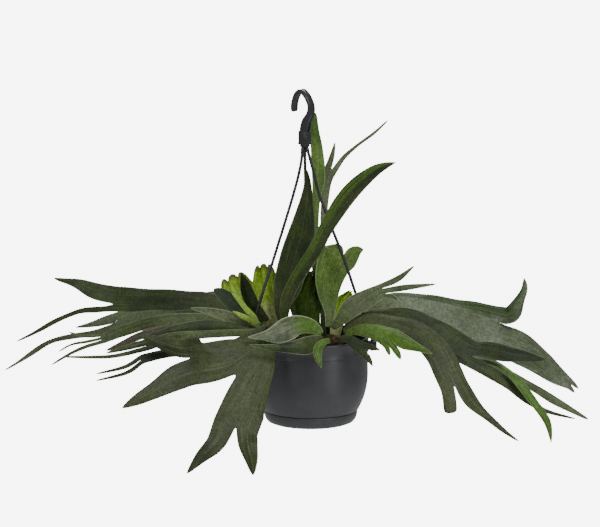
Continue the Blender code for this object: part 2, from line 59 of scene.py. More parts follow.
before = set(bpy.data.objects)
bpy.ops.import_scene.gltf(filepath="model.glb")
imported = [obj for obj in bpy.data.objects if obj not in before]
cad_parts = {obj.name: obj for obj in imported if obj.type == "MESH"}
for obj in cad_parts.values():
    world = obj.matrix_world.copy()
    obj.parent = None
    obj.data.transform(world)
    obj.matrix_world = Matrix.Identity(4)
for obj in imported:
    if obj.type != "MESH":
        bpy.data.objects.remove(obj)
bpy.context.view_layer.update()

MM = 0.001
BODY = "root"

# Places taken from the frame
SAUCER_LOW, SAUCER_HIGH = (Vector(corner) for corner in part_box("saucer"))
POT_LOW, POT_HIGH = (Vector(corner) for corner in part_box("pot"))
AXIS = (SAUCER_LOW + SAUCER_HIGH) / 2
RIM = Vector((AXIS.x, AXIS.y, POT_HIGH.z))
POT_DEPTH = (POT_HIGH.z - POT_LOW.z) / MM
RIM_RADIUS = (AXIS.y - POT_LOW.y) / MM
SAUCER_RADIUS = (SAUCER_HIGH.x - SAUCER_LOW.x) / 2 / MM
SAUCER_BOTTOM = (SAUCER_LOW.z - RIM.z) / MM
SAUCER_TOP = (SAUCER_HIGH.z - RIM.z) / MM
SOIL_TOP = (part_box("soil")[1][2] - RIM.z) / MM

# The stage, in metres: a floor far below the plant, which glows only where the camera sees it, and the camera
FLOOR_DROP = 0.9
FLOOR_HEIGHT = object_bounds()[0][2] - FLOOR_DROP
FLOOR_SIZE = 40.0
FLOOR_GLOW = 8.0
WORLD_COLOUR = (0.95, 0.96, 0.98, 1.0)
WORLD_STRENGTH = 0.42
CAMERA_TARGET = (-0.0025, 0.0, -0.2158)
CAMERA_DISTANCE = 6.0
CAMERA_WIDTH = 0.75
CAMERA_ELEVATION = math.radians(11.0)

# Each light's place, width, height and power
LIGHTS = {
    "key": ((0.9, -2.0, 1.7), 1.0, 1.0, 46.0),
    "strip": ((1.5, -1.5, -0.2), 0.25, 1.6, 7.0),
    "fill": ((-1.9, -1.4, 0.5), 1.8, 1.8, 12.0),
    "back": ((0.4, 2.0, 1.4), 1.6, 1.6, 26.0),
}

# The proportions of the pot, the saucer and the soil, in millimetres from the centre of the rim
WALL = 2.2
BELLY_RADIUS = 72.0
BELLY_TOP = -48.0
BELLY_HALF_HEIGHT = 83.0
POT_BOTTOM = -94.0
FOOT_RADIUS = 46.0
EAR_ANGLES = {"left": 194.0, "right": 346.0, "back": 90.0}
EAR_RADIUS = 79.0
EAR_TOP = -4.0
EAR_HEIGHT = 8.0
EAR_HOLE = 2.6
EAR_RING = 6.0
SAUCER_FLOOR = 3.0
SAUCER_BASE = 51.0
SOIL_RADIUS = 68.5
CHIPS_RADIUS = 63.0

# The hanger
HEAD_X = -7.5
HEAD_TOP = 258.5
HEAD_BOTTOM = 238.5
HEAD_WIDTH = 14.0
STRAP_WIDTH = 10.0
STRAP_THICK = 5.0
HEAD_SWELL = 1.2
HOOK_TURN = math.radians(-40.0)
HOOK_ROUTE = [(-17, 281.5), (-16.5, 291.5), (-12, 303.5), (-4.5, 308.5), (4, 302.5), (10, 291.5),
              (9, 280.5), (3, 270.5), (0, HEAD_TOP)]
ARM_RADIUS = 1.9
ARM_KNOB = ((0.4, 1.9), (0.8, 2.4), (1.6, 3.0), (3.2, 2.6), (4.6, 1.2))    # depth below the ear, and radius
ARM_BENDS = {
    "left": [(-10, -1, HEAD_BOTTOM), (-13, -2, 214), (-23, -6, 175), (-47, -13, 97), (-60, -17, 57)],
    "right": [(-5, -1, HEAD_BOTTOM), (4, -3, 205), (12, -6, 175), (42, -13, 97), (57, -17, 53)],
    "back": [(-7.5, 3, HEAD_BOTTOM), (-7, 14, 205), (-6, 27, 164), (-3, 53, 81)],
}

# The ways that blades face
TOWARDS_FRONT = (0.0, -1.0, 0.2)
TILTED_UP = (0.0, -0.8, 0.6)
TOWARDS_BACK = (0.0, 0.5, 0.86)

# How far a frond sinks for each millimetre that it swings back
SWING_DROP = 0.194


def blade(points, *lobes):
    """A stretch of frond: (x, y, z, width) along its middle, then the lobes that it divides into."""
    return points, lobes


# Each frond: its finish, the way it faces, how far its edges curl back, how much they wave, how far it swings
# back for each millimetre of its reach, and its blade before it swings
FRONDS = {
    "frond_front_left": ("olive", TOWARDS_FRONT, 0.05, 1.2, -0.30, blade(
        [(-46, -48, 10, 8), (-54, -62, 9, 26), (-69, -74, -10, 64), (-92, -84, -31, 110)],
        blade([(-146, -90, -14, 60)],
              blade([(-160, -88, 2, 24), (-182, -84, 8, 18), (-198, -81, 13, 10), (-211, -79, 17, 3)]),
              blade([(-166, -94, -34, 32), (-190, -96, -48, 22), (-213, -98, -60, 14), (-231, -98, -70, 3)])),
        blade([(-92, -97, -94, 58)],
              blade([(-117, -101, -114, 24), (-134, -103, -130, 16), (-152, -104, -151, 3)]),
              blade([(-77, -102, -117, 24), (-73, -102, -134, 17), (-71, -101, -154, 4)])))),
    "frond_front_grey": ("felted", TOWARDS_FRONT, -0.12, 2.4, 0.0, blade(
        [(14, -56, 12, 7), (2, -58, 22, 18), (-16, -64, 26, 24), (-29, -72, 22, 30), (-44, -80, 17, 24),
         (-58, -85, 16, 11), (-78, -88, 15, 2)])),
    "frond_front_low": ("edged", TOWARDS_FRONT, 0.12, 2.6, -0.10, blade(
        [(16, -66, 8, 7), (7, -74, 9, 14), (-3, -84, 4, 24), (-25, -92, 3, 15), (-53, -94, 4, 7),
         (-76, -94, 7, 2)])),
    "frond_front_drop": ("bright", TOWARDS_FRONT, 0.1, 0.8, -0.30, blade(
        [(24, -68, 6, 6), (18, -84, 9, 8), (10, -94, 5, 12), (8, -98, -5, 11), (13, -100, -21, 2)])),
    "frond_front_right": ("deep", TOWARDS_FRONT, 0.1, 0.8, -0.30, blade(
        [(34, -58, 6, 6), (46, -70, 9, 12), (62, -80, 0, 16)],
        blade([(74, -84, 2, 8), (85, -86, -1, 2)]),
        blade([(70, -86, -10, 8), (76, -90, -21, 2)]))),
    "frond_right_toothed": ("bright", TILTED_UP, 0.1, 1, -0.25, blade(
        [(42, -48, 11, 7), (58, -58, 19, 15), (80, -68, 19, 22), (98, -76, 13, 30)],
        blade([(114, -82, 9, 20), (131, -88, 3, 12), (149, -90, -5, 2)]),
        blade([(107, -84, -5, 8), (110, -88, -13, 2)]),
        blade([(95, -84, -1, 7), (97, -86, -8, 2)]))),
    "frond_right_silver": ("grey", TOWARDS_FRONT, -0.1, 1.2, -0.08, blade(
        [(27, -30, 14, 7), (37, -34, 26, 15), (51, -38, 43, 25), (69, -42, 54, 24), (88, -44, 65, 18)],
        blade([(108, -44, 80, 8), (128, -42, 96, 2)]),
        blade([(116, -50, 70, 8), (155, -52, 75, 2)]),
        blade([(101, -54, 60, 6), (109, -57, 54, 2)]))),
    "frond_right_lower": ("olive", TILTED_UP, 0.07, 1.2, -0.30, blade(
        [(40, -38, 12, 7), (68, -44, 28, 16), (105, -50, 24, 24), (136, -55, 12, 32), (158, -60, -10, 36),
         (168, -64, -30, 36), (176, -67, -48, 36)],
        blade([(196, -71, -66, 18), (211, -74, -81, 12), (232, -78, -99, 7), (254, -80, -115, 2)]),
        blade([(170, -69, -64, 17), (171, -70, -74, 17), (172, -70, -83, 16)]))),
    "frond_right_middle": ("deep", TILTED_UP, 0.08, 1.2, -0.10, blade(
        [(42, -22, 14, 7), (80, -26, 30, 18), (120, -30, 29, 26), (156, -36, 14, 30), (196, -44, -12, 38)],
        blade([(238, -46, -12, 24), (270, -48, -18, 14), (292, -50, -21, 2)]),
        blade([(222, -50, -36, 17), (246, -54, -51, 15), (270, -58, -71, 10), (292, -60, -84, 6),
               (327, -62, -93, 2)]))),
    "frond_right_upper": ("frosted", TILTED_UP, 0.07, 1.4, 0.35, blade(
        [(42, -2, 14, 8), (68, 2, 32, 22), (111, 4, 41, 28), (149, 2, 33, 40), (191, -2, 22, 52),
         (236, -6, 8, 68)],
        blade([(254, -8, 26, 26), (265, -8, 46, 13), (272, -7, 60, 9), (271, -6, 74, 2)]),
        blade([(265, -12, -14, 46), (292, -16, -33, 36), (316, -18, -51, 26), (331, -19, -62, 16)],
              blade([(342, -20, -68, 4)]),
              blade([(337, -20, -73, 4)])))),
    "frond_right_outer": ("two_tone", TILTED_UP, 0.12, 0.8, 0.0, blade(
        [(44, 16, 12, 7), (90, 18, 18, 16), (150, 8, 2, 20), (196, -16, -22, 20)],
        blade([(226, -14, -37, 10), (252, -12, -49, 11), (280, -14, -65, 11), (312, -16, -84, 11),
               (348, -18, -105, 3)]),
        blade([(224, -46, -25, 8), (240, -70, -28, 8), (256, -90, -40, 11), (278, -100, -67, 11),
               (293, -104, -90, 9), (297, -106, -114, 2)]))),
    "frond_left_upper": ("deep", TILTED_UP, 0.07, 1.4, 0.28, blade(
        [(-60, 6, 14, 8), (-84, 8, 27, 20), (-130, 12, 40, 26), (-190, 14, 42, 31), (-248, 14, 43, 36)],
        blade([(-272, 10, 54, 24), (-296, 5, 64, 14), (-325, 0, 72, 3)]),
        blade([(-270, 13, 29, 9), (-294, 10, 27, 7), (-325, 6, 15, 7), (-350, 2, 1, 5),
               (-374, 0, -10, 2)]))),
    "frond_left_middle": ("grey", TILTED_UP, 0.1, 1.2, 0.55, blade(
        [(-58, 17, 10, 7), (-95, 15, 18, 15), (-140, 24, 22, 24), (-200, 32, 15, 32), (-246, 34, 10, 34)],
        blade([(-276, 34, 6, 10), (-302, 30, 1, 2)]),
        blade([(-276, 30, -6, 11), (-308, 24, -9, 8), (-332, 18, -14, 7), (-350, 12, -22, 8),
               (-374, 6, -38, 5), (-395, 0, -50, 2)]))),
    "frond_left_green": ("soft", TILTED_UP, 0.12, 0.8, 0.08, blade(
        [(-72, -6, 10, 8), (-90, -8, 16, 14), (-120, -8, 21, 17), (-164, -8, 22, 17), (-200, -8, 18, 16),
         (-238, -9, 6, 15), (-260, -9, -3, 13)],
        blade([(-284, -6, -1, 4), (-304, -4, 4, 2)]),
        blade([(-280, -10, -7, 4), (-300, -12, -10, 3), (-316, -14, -19, 2)]),
        blade([(-284, -15, -13, 5), (-306, -18, -23, 4), (-325, -20, -35, 2)]))),
    "frond_left_pale": ("brown", TILTED_UP, 0.12, 0.7, -0.10, blade(
        [(-68, -24, 12, 7), (-92, -24, 12, 10), (-122, -24, 15, 12), (-160, -25, 15, 12), (-205, -26, 7, 11),
         (-238, -27, -7, 8), (-255, -27, -14, 2)])),
    "frond_left_dark": ("deep", TOWARDS_FRONT, 0.1, 0.8, -0.20, blade(
        [(-64, -33, 13, 7), (-98, -37, 17, 14), (-132, -41, 20, 15), (-165, -46, 17, 12), (-190, -48, 11, 7),
         (-208, -48, 9, 2)])),
    "frond_left_low": ("soft", TOWARDS_FRONT, 0.12, 0.7, -0.28, blade(
        [(-58, -39, 13, 6), (-88, -45, 12, 9), (-132, -50, 11, 10), (-170, -56, 9, 12), (-200, -60, 1, 15)],
        blade([(-228, -61, -3, 7), (-252, -59, -10, 2)]),
        blade([(-240, -66, -12, 5), (-270, -68, -13, 4), (-303, -70, -12, 2)]))),
    "frond_left_lowest": ("deep", TOWARDS_FRONT, 0.12, 0.7, -0.32, blade(
        [(-56, -42, 20, 5), (-78, -47, 9, 8), (-102, -54, -2, 10), (-142, -62, -7, 10), (-178, -67, -9, 11),
         (-207, -70, -15, 12)],
        blade([(-228, -74, -24, 5), (-263, -76, -32, 2)]),
        blade([(-226, -71, -32, 5), (-263, -69, -42, 2)]))),
    "leaf_left_long": ("grey", TOWARDS_FRONT, -0.14, 0.8, -0.10, blade(
        [(-62, -28, 18, 6), (-88, -30, 25, 12), (-107, -32, 31, 14), (-128, -33, 37, 9),
         (-150, -34, 41, 2)])),
    "leaf_left_broad": ("blue", TOWARDS_FRONT, -0.12, 0.8, 0.0, blade(
        [(-66, -14, 18, 7), (-88, -15, 33, 18), (-101, -16, 47, 20), (-112, -17, 56, 15),
         (-121, -18, 62, 5)])),
    "leaf_left_upright": ("deep", TOWARDS_FRONT, 0.12, 0.6, 0.10, blade(
        [(-54, 0, 18, 7), (-71, -4, 38, 15), (-79, -5, 54, 17), (-83, -6, 68, 11), (-87, -6, 80, 2)])),
    "leaf_left_young": ("young", TOWARDS_FRONT, 0.1, 0.6, -0.20, blade(
        [(-66, -42, 21, 6), (-73, -44, 30, 13)],
        blade([(-79, -43, 40, 7), (-89, -43, 52, 5), (-98, -43, 62, 2)]),
        blade([(-84, -43, 32, 7), (-97, -43, 39, 2)]))),
    "frond_centre_tall": ("deep", TOWARDS_FRONT, -0.14, 1, 0.0, blade(
        [(-36, 2, 14, 8), (-36, 3, 38, 22), (-29, 4, 62, 36), (-20, 5, 97, 38), (-12, 6, 124, 36),
         (-8, 7, 148, 27), (-5, 6, 173, 16), (-4, 5, 193, 9), (-7, 4, 210, 6)])),
    "frond_centre_strap": ("creased", TOWARDS_FRONT, -0.16, 1, -0.25, blade(
        [(-34, -10, 14, 8), (-31, -13, 45, 15), (-21, -16, 69, 16), (-8, -20, 91, 17), (6, -22, 113, 18),
         (17, -22, 136, 18), (40, -20, 173, 22), (61, -16, 196, 20), (83, -12, 212, 13), (104, -8, 219, 2)])),
    "frond_centre_light": ("veined", TOWARDS_FRONT, -0.12, 1.2, 0.10, blade(
        [(22, -14, 12, 8), (24, -4, 30, 14), (22, 0, 50, 26), (23, 2, 70, 36), (28, 2, 88, 43),
         (34, 2, 99, 50)],
        blade([(28, 6, 107, 30), (27, 10, 113, 20)]),
        blade([(54, 0, 105, 19), (66, -2, 109, 5)]))),
    "frond_back_tall": ("bright", TOWARDS_FRONT, 0.12, 0.6, 0.18, blade(
        [(8, 26, -11, 8), (7, 28, 55, 9), (5, 28, 110, 9), (7, 28, 166, 10), (10, 27, 194, 17),
         (8, 26, 230, 16), (5, 25, 258, 11), (6, 24, 279, 4)])),
    "frond_back_forked": ("grey", TOWARDS_FRONT, 0.12, 0.6, 0.30, blade(
        [(16, 40, -11, 7), (15, 45, 70, 8), (16, 47, 130, 8), (20, 46, 184, 12), (25, 46, 202, 17)],
        blade([(27, 45, 220, 7), (31, 44, 239, 2)]),
        blade([(42, 46, 219, 6), (61, 46, 236, 4), (80, 46, 250, 4), (98, 46, 267, 2)]))),
    "frond_back_left": ("deep", TOWARDS_BACK, 0.1, 1, 0.0, blade(
        [(-40, 36, -11, 8), (-60, 58, 24, 14), (-78, 84, 33, 22), (-92, 108, 32, 32)],
        blade([(-118, 128, 30, 18), (-146, 150, 18, 14), (-170, 174, -6, 9), (-184, 188, -34, 2)]),
        blade([(-92, 144, 20, 18), (-92, 176, -4, 13), (-86, 200, -36, 8), (-80, 210, -66, 2)]))),
    "frond_back_right": ("deep", TOWARDS_BACK, 0.1, 1, 0.0, blade(
        [(34, 44, -11, 8), (46, 68, 20, 14), (58, 94, 28, 22), (68, 118, 26, 30)],
        blade([(94, 142, 18, 17), (118, 164, -2, 12), (134, 178, -34, 2)]),
        blade([(62, 154, 12, 17), (56, 184, -12, 13), (50, 204, -44, 8), (48, 212, -72, 2)]))),
    "shield_left_outer": ("lime", TOWARDS_FRONT, -0.05, 1, 0.0, blade(
        [(-44, 30, -10, 12), (-52, 35, 8, 18), (-72, 43, 27, 31), (-90, 48, 45, 44), (-98, 50, 61, 40)])),
    "shield_left_inner": ("lime", TOWARDS_FRONT, -0.05, 1, 0.0, blade(
        [(-42, 14, 12, 12), (-48, 20, 35, 28), (-56, 24, 58, 34), (-59, 25, 80, 28)])),
    "shield_middle": ("bright", TOWARDS_FRONT, -0.05, 1, 0.0, blade(
        [(-2, 12, -11, 12), (-6, 13, 16, 30), (-6, 13, 36, 42), (-1, 13, 56, 36), (5, 13, 72, 20)])),
    "shield_right": ("lime", TOWARDS_FRONT, -0.05, 1, 0.0, blade(
        [(30, 18, -11, 12), (36, 26, 28, 20), (43, 28, 40, 18), (48, 28, 46, 8)])),
}


def swung(part, swing, reach=0.0, before=None):
    """A stretch and its lobes, moved back and down in proportion to how far they reach from the stalk."""
    points, lobes = part
    moved = []
    for x, y, z, width in points:
        if before:
            reach += math.dist(before, (x, z))
        before = (x, z)
        moved.append((x, y + swing * reach, z - SWING_DROP * swing * reach, width))
    return moved, [swung(lobe, swing, reach, before) for lobe in lobes]


class FernSizes(bpy.types.PropertyGroup):
    """Sizes that a user would change."""
    leaf_thickness: FloatProperty(
        name="Leaf thickness", description="Thickness of a frond at its middle", default=0.0014,
        min=0.0005, max=0.003, unit="LENGTH")
    row_spacing: FloatProperty(
        name="Row spacing", description="Distance between rows of a frond's mesh, in millimetres",
        default=7.0, min=3.0, max=20.0)
    leaf_unevenness: FloatProperty(
        name="Leaf unevenness", description="How far a frond's surface strays, in millimetres", default=1.1,
        min=0.0, max=3.0)
    round_steps: IntProperty(
        name="Round steps", description="Steps around the pot and the saucer", default=96, min=24, max=256)
    bark_chips: IntProperty(
        name="Bark chips", description="How many chips lie on the soil", default=190, min=0, max=600)
    crown_scales: IntProperty(
        name="Crown scales", description="How many dry scales cover a crown", default=260, min=0, max=600)


class FernColours(bpy.types.PropertyGroup):
    """Colours that a user would change."""
    plastic: FloatVectorProperty(
        name="Pot plastic", description="Colour of the pot and saucer", subtype="COLOR", size=3,
        default=(0.029, 0.031, 0.034), min=0.0, max=1.0)
    hanger: FloatVectorProperty(
        name="Hanger plastic", description="Colour of the hook and arms", subtype="COLOR", size=3,
        default=(0.016, 0.017, 0.019), min=0.0, max=1.0)
    bark: FloatVectorProperty(
        name="Bark", description="Colour of the potting bark", subtype="COLOR", size=3,
        default=(0.060, 0.034, 0.020), min=0.0, max=1.0)
    crown: FloatVectorProperty(
        name="Crown scales", description="Colour of the dry scales on the crowns", subtype="COLOR", size=3,
        default=(0.040, 0.024, 0.012), min=0.0, max=1.0)
    floor: FloatVectorProperty(
        name="Floor", description="Colour of the floor", subtype="COLOR", size=3,
        default=(0.86, 0.86, 0.85), min=0.0, max=1.0)


# Leaf finishes: main and shaded green, the shaded one also painted as shade in the grooves of the streaks,
# felt, which is also painted as highlight on the ridges of the streaks, and how much of it, the colour of the
# rim, the stalk end and how far that goes, the underside, the slot of the record that each takes, fine veins,
# and a band of another green between two places across the blade, counted in lobes
DARK_GREEN = {"main": (0.026, 0.048, 0.004), "shade": (0.008, 0.016, 0.002), "felt_and_highlight": (0.075, 0.095, 0.040),
              "felt_share": 0.22, "rim": (0.150, 0.180, 0.090), "stalk": (0.060, 0.080, 0.026),
              "stalk_to": 0.30, "under": (0.050, 0.070, 0.022), "slot": "dark_frond"}
GREY_GREEN = {"main": (0.062, 0.092, 0.024), "shade": (0.022, 0.038, 0.007), "felt_and_highlight": (0.170, 0.200, 0.115),
              "felt_share": 0.60, "rim": (0.320, 0.360, 0.240), "stalk": (0.095, 0.130, 0.045),
              "stalk_to": 0.30, "under": (0.130, 0.155, 0.090), "slot": "grey_frond"}
FRESH_GREEN = {"main": (0.078, 0.165, 0.010), "shade": (0.030, 0.080, 0.003), "felt_and_highlight": (0.170, 0.240, 0.080),
               "felt_share": 0.24, "rim": (0.280, 0.360, 0.140), "stalk": (0.080, 0.130, 0.018),
               "stalk_to": 0.30, "under": (0.100, 0.150, 0.040), "slot": "bright_frond"}
LIME_GREEN = {"main": (0.300, 0.480, 0.022), "shade": (0.130, 0.270, 0.010), "felt_and_highlight": (0.460, 0.560, 0.120),
              "felt_share": 0.20, "rim": (0.520, 0.660, 0.150), "stalk": (0.430, 0.450, 0.210),
              "stalk_to": 0.50, "under": (0.280, 0.400, 0.060), "slot": "lime_frond"}
LEAF_FINISHES = {
    "olive": {**DARK_GREEN, "main": (0.033, 0.051, 0.005), "shade": (0.014, 0.024, 0.003),
              "felt_and_highlight": (0.125, 0.140, 0.082), "felt_share": 0.34, "rim": (0.016, 0.024, 0.006)},
    "deep": DARK_GREEN,
    "blue": {**DARK_GREEN, "main": (0.022, 0.050, 0.026), "shade": (0.009, 0.021, 0.011)},
    "creased": {**DARK_GREEN, "band": (0.06, 0.44), "band_colour": (0.052, 0.104, 0.008), "felt_share": 0.14},
    "edged": {**DARK_GREEN, "main": (0.046, 0.078, 0.014), "rim": (0.330, 0.370, 0.230)},
    "soft": {**GREY_GREEN, "main": (0.052, 0.082, 0.012), "felt_share": 0.28, "rim": (0.240, 0.280, 0.150),
             "slot": "bright_frond"},
    "grey": GREY_GREEN,
    "veined": {**GREY_GREEN, "main": (0.110, 0.200, 0.026), "shade": (0.046, 0.096, 0.008),
               "felt_and_highlight": (0.180, 0.250, 0.085), "felt_share": 0.25, "veins": 3.5},
    "felted": {**GREY_GREEN, "main": (0.140, 0.170, 0.085), "felt_and_highlight": (0.300, 0.330, 0.230), "felt_share": 0.9,
               "rim": (0.460, 0.500, 0.370), "stalk": (0.075, 0.165, 0.010), "stalk_to": 0.55},
    "frosted": {**GREY_GREEN, "main": (0.070, 0.098, 0.034), "felt_and_highlight": (0.215, 0.245, 0.170),
                "felt_share": 0.78, "band": (-0.1, 0.62), "band_colour": (0.026, 0.056, 0.007)},
    "bright": FRESH_GREEN,
    "two_tone": {**GREY_GREEN, "band": (1.0, 2.1), "band_colour": (0.060, 0.150, 0.006),
                 "slot": "bright_frond"},
    "lime": LIME_GREEN,
    "young": {**LIME_GREEN, "main": (0.210, 0.370, 0.020), "stalk": (0.170, 0.270, 0.040)},
    "brown": {**GREY_GREEN, "main": (0.070, 0.052, 0.036), "shade": (0.030, 0.022, 0.015),
              "felt_and_highlight": (0.120, 0.105, 0.080), "felt_share": 0.35, "rim": (0.150, 0.140, 0.095),
              "stalk": (0.050, 0.055, 0.024), "slot": "brown_frond"},
}
DRY_BROWN = (0.075, 0.052, 0.022)


def add_node(tree, kind, **settings):
    """A new node with its settings."""
    node = tree.nodes.new(kind)
    for key, value in settings.items():
        setattr(node, key, value)
    return node


def feed(tree, node, **values):
    """Join outputs to a node's inputs, or set them, by name with underscores for spaces."""
    for key, value in values.items():
        socket = node.inputs[key.replace("_", " ")]
        if isinstance(value, bpy.types.NodeSocket):
            tree.links.new(value, socket)
        else:
            socket.default_value = value
    return node


def blend_colours(tree, factor, first, second, way="MIX"):
    """Mix two colours, each a socket or three numbers."""
    node = add_node(tree, "ShaderNodeMix", data_type="RGBA", blend_type=way)
    for socket, value in ((node.inputs[0], factor), (node.inputs[6], first), (node.inputs[7], second)):
        if isinstance(value, bpy.types.NodeSocket):
            tree.links.new(value, socket)
        elif isinstance(value, (int, float)):
            socket.default_value = value
        else:
            socket.default_value = (*value, 1.0)
    return node.outputs[2]


def calculate(tree, operation, first, second=0.0):
    """One sum on two values."""
    node = add_node(tree, "ShaderNodeMath", operation=operation)
    for socket, value in zip(node.inputs, (first, second)):
        if isinstance(value, bpy.types.NodeSocket):
            tree.links.new(value, socket)
        else:
            socket.default_value = value
    return node.outputs[0]


def remap(tree, value, low, high, to_low=0.0, to_high=1.0):
    """Stretch a range of values to another, smoothly."""
    node = add_node(tree, "ShaderNodeMapRange", interpolation_type="SMOOTHSTEP")
    feed(tree, node, Value=value, From_Min=low, From_Max=high, To_Min=to_low, To_Max=to_high)
    return node.outputs[0]


def speckle(tree, vector, scale, detail=3.0, roughness=0.55):
    """Noise at a scale, read from a vector."""
    node = add_node(tree, "ShaderNodeTexNoise")
    feed(tree, node, Vector=vector, Scale=scale, Detail=detail, Roughness=roughness)
    return node.outputs["Fac"]


def new_surface(name, roughness, specular=0.5):
    """A material with nodes, its tree and its shader."""
    surface = bpy.data.materials.new(name)
    surface.use_nodes = True
    tree = surface.node_tree
    shader = tree.nodes["Principled BSDF"]
    shader.inputs["Roughness"].default_value = roughness
    shader.inputs["Specular IOR Level"].default_value = specular
    return surface, tree, shader


def paint(tree, shader, colour):
    """Join a colour to the shader."""
    tree.links.new(colour, shader.inputs["Base Color"])


def add_bump(tree, shader, height, strength, distance):
    """Relief from a height value."""
    node = add_node(tree, "ShaderNodeBump")
    feed(tree, node, Height=height, Strength=strength, Distance=distance)
    tree.links.new(node.outputs[0], shader.inputs["Normal"])


def leaf_surface(name, underside):
    """Leaf: ribs, veins and mottled green, streaks painted as shade in their grooves and as highlight on
    their ridges, pale felt with its fine hairs, a thin rim, dry tips.
    """
    title = f"{name}_leaf_{'below' if underside else 'above'}"
    if title in bpy.data.materials:
        return bpy.data.materials[title]
    finish = LEAF_FINISHES[name]
    main, felt_and_highlight = finish["under" if underside else "main"], finish["felt_and_highlight"]
    shade = tuple(0.5 * part for part in main) if underside else finish["shade"]
    felt_share = 0.7 if underside else finish["felt_share"]
    surface, tree, shader = new_surface(title, 0.5, 0.25)
    place = add_node(tree, "ShaderNodeTexCoord").outputs["Object"]
    across, along, margin, reach, tip = (
        add_node(tree, "ShaderNodeAttribute", attribute_name=note).outputs["Fac"]
        for note in ("across", "along", "margin", "reach", "tip"))
    strip = add_node(tree, "ShaderNodeCombineXYZ")
    feed(tree, strip, X=calculate(tree, "MULTIPLY", across, 6.0), Y=calculate(tree, "MULTIPLY", along, 1.1))
    streaks = speckle(tree, strip.outputs[0], 1.5, 4.0, 0.62)
    rib = calculate(tree, "ABSOLUTE", calculate(tree, "SUBTRACT", calculate(tree, "FRACT", across), 0.5))
    mottle = speckle(tree, place, 24.0, 4.0, 0.6)
    hairs = speckle(tree, place, 620.0, 2.0, 0.6)
    flecks = speckle(tree, place, 240.0, 3.0, 0.7)
    patches = speckle(tree, place, 13.0, 3.0, 0.55)
    colour = blend_colours(tree, remap(tree, mottle, 0.36, 0.64), shade, main)
    if "band" in finish and not underside:
        low, high = finish["band"]
        banded = calculate(tree, "MULTIPLY", remap(tree, across, low - 0.06, low + 0.06),
                           remap(tree, across, high - 0.06, high + 0.06, 1.0, 0.0))
        colour = blend_colours(tree, banded, colour, finish["band_colour"])
        plain = calculate(tree, "SUBTRACT", 1.0, calculate(tree, "MULTIPLY", banded, 0.85))
    else:
        plain = 1.0
    # Along the streaks, which also raise the bump: painted highlight in the felt's colour on their ridges,
    # and painted shade in the shaded green in their grooves
    colour = blend_colours(tree, remap(tree, streaks, 0.52, 0.68, 0.0, 0.42), colour, felt_and_highlight)
    colour = blend_colours(tree, remap(tree, streaks, 0.34, 0.49, 0.75, 0.0), colour, shade)
    near = calculate(tree, "MULTIPLY", calculate(tree, "SUBTRACT", 1.0, reach), 0.20)
    felted = remap(tree, calculate(tree, "ADD", patches, near), 0.42, 0.72, 0.10 * felt_share, felt_share)
    felted = calculate(tree, "MULTIPLY", felted, plain)
    colour = blend_colours(tree, felted, colour, felt_and_highlight)
    colour = blend_colours(tree, remap(tree, rib, 0.0, 0.035, 0.4, 0.0), colour, felt_and_highlight)
    if "veins" in finish:
        vein = calculate(tree, "FRACT", calculate(tree, "MULTIPLY", across, finish["veins"]))
        vein = calculate(tree, "ABSOLUTE", calculate(tree, "SUBTRACT", vein, 0.5))
        colour = blend_colours(tree, remap(tree, vein, 0.0, 0.16, 0.5, 0.0), colour, shade)
    stalky = remap(tree, reach, 0.4 * finish["stalk_to"], finish["stalk_to"], 0.85, 0.0)
    colour = blend_colours(tree, stalky, colour, finish["stalk"])
    fine, coarse = remap(tree, hairs, 0.3, 0.7, 0.72, 1.22), remap(tree, flecks, 0.3, 0.7, 0.75, 1.2)
    grain = calculate(tree, "MULTIPLY", fine, coarse)
    grey = add_node(tree, "ShaderNodeCombineColor")
    feed(tree, grey, Red=grain, Green=grain, Blue=grain)
    colour = blend_colours(tree, 1.0, colour, grey.outputs[0], "MULTIPLY")
    colour = blend_colours(tree, remap(tree, margin, 0.2, 0.9, 0.6, 0.0), colour, finish["rim"])
    dry = calculate(tree, "MULTIPLY", remap(tree, tip, 0.90, 1.0, 0.0, 0.8), remap(tree, mottle, 0.25, 0.55))
    colour = blend_colours(tree, dry, colour, DRY_BROWN)
    paint(tree, shader, colour)
    tree.links.new(remap(tree, felted, 0.0, 0.7, 0.44, 0.78), shader.inputs["Roughness"])
    shader.inputs["Sheen Weight"].default_value = 0.02
    shader.inputs["Sheen Roughness"].default_value = 0.6
    relief = calculate(tree, "ADD", streaks, calculate(tree, "MULTIPLY", hairs, 0.25))
    add_bump(tree, shader, relief, 0.6, 0.0012)
    return surface


def plastic_surface(name, colour, roughness):
    """Moulded plastic with a faint grain, dust in cloudy patches and slightly uneven gloss."""
    surface, tree, shader = new_surface(name, roughness, 0.5)
    place = add_node(tree, "ShaderNodeTexCoord").outputs["Object"]
    cloud = speckle(tree, place, 22.0, 4.0)
    grain = speckle(tree, place, 1600.0, 2.0)
    dusty = tuple(1.7 * part + 0.006 for part in colour)
    dust = remap(tree, cloud, 0.48, 0.75, 0.0, 0.38)
    paint(tree, shader, blend_colours(tree, dust, colour, dusty))
    uneven = remap(tree, cloud, 0.3, 0.7, roughness - 0.05, roughness + 0.09)
    tree.links.new(uneven, shader.inputs["Roughness"])
    add_bump(tree, shader, grain, 0.12, 0.0002)
    return surface


def bark_surface(name, colour):
    """Bark: fibrous chips of several browns."""
    surface, tree, shader = new_surface(name, 0.92, 0.2)
    place = add_node(tree, "ShaderNodeTexCoord").outputs["Object"]
    chips = speckle(tree, place, 120.0, 3.0)
    fibre = speckle(tree, place, 900.0, 4.0, 0.7)
    dark = tuple(part * 0.35 for part in colour)
    light = tuple(part * 2.1 for part in colour)
    tone = blend_colours(tree, remap(tree, chips, 0.3, 0.7), dark, light)
    paint(tree, shader, blend_colours(tree, remap(tree, fibre, 0.5, 0.8, 0.0, 0.5), tone, dark))
    add_bump(tree, shader, fibre, 0.8, 0.0008)
    return surface


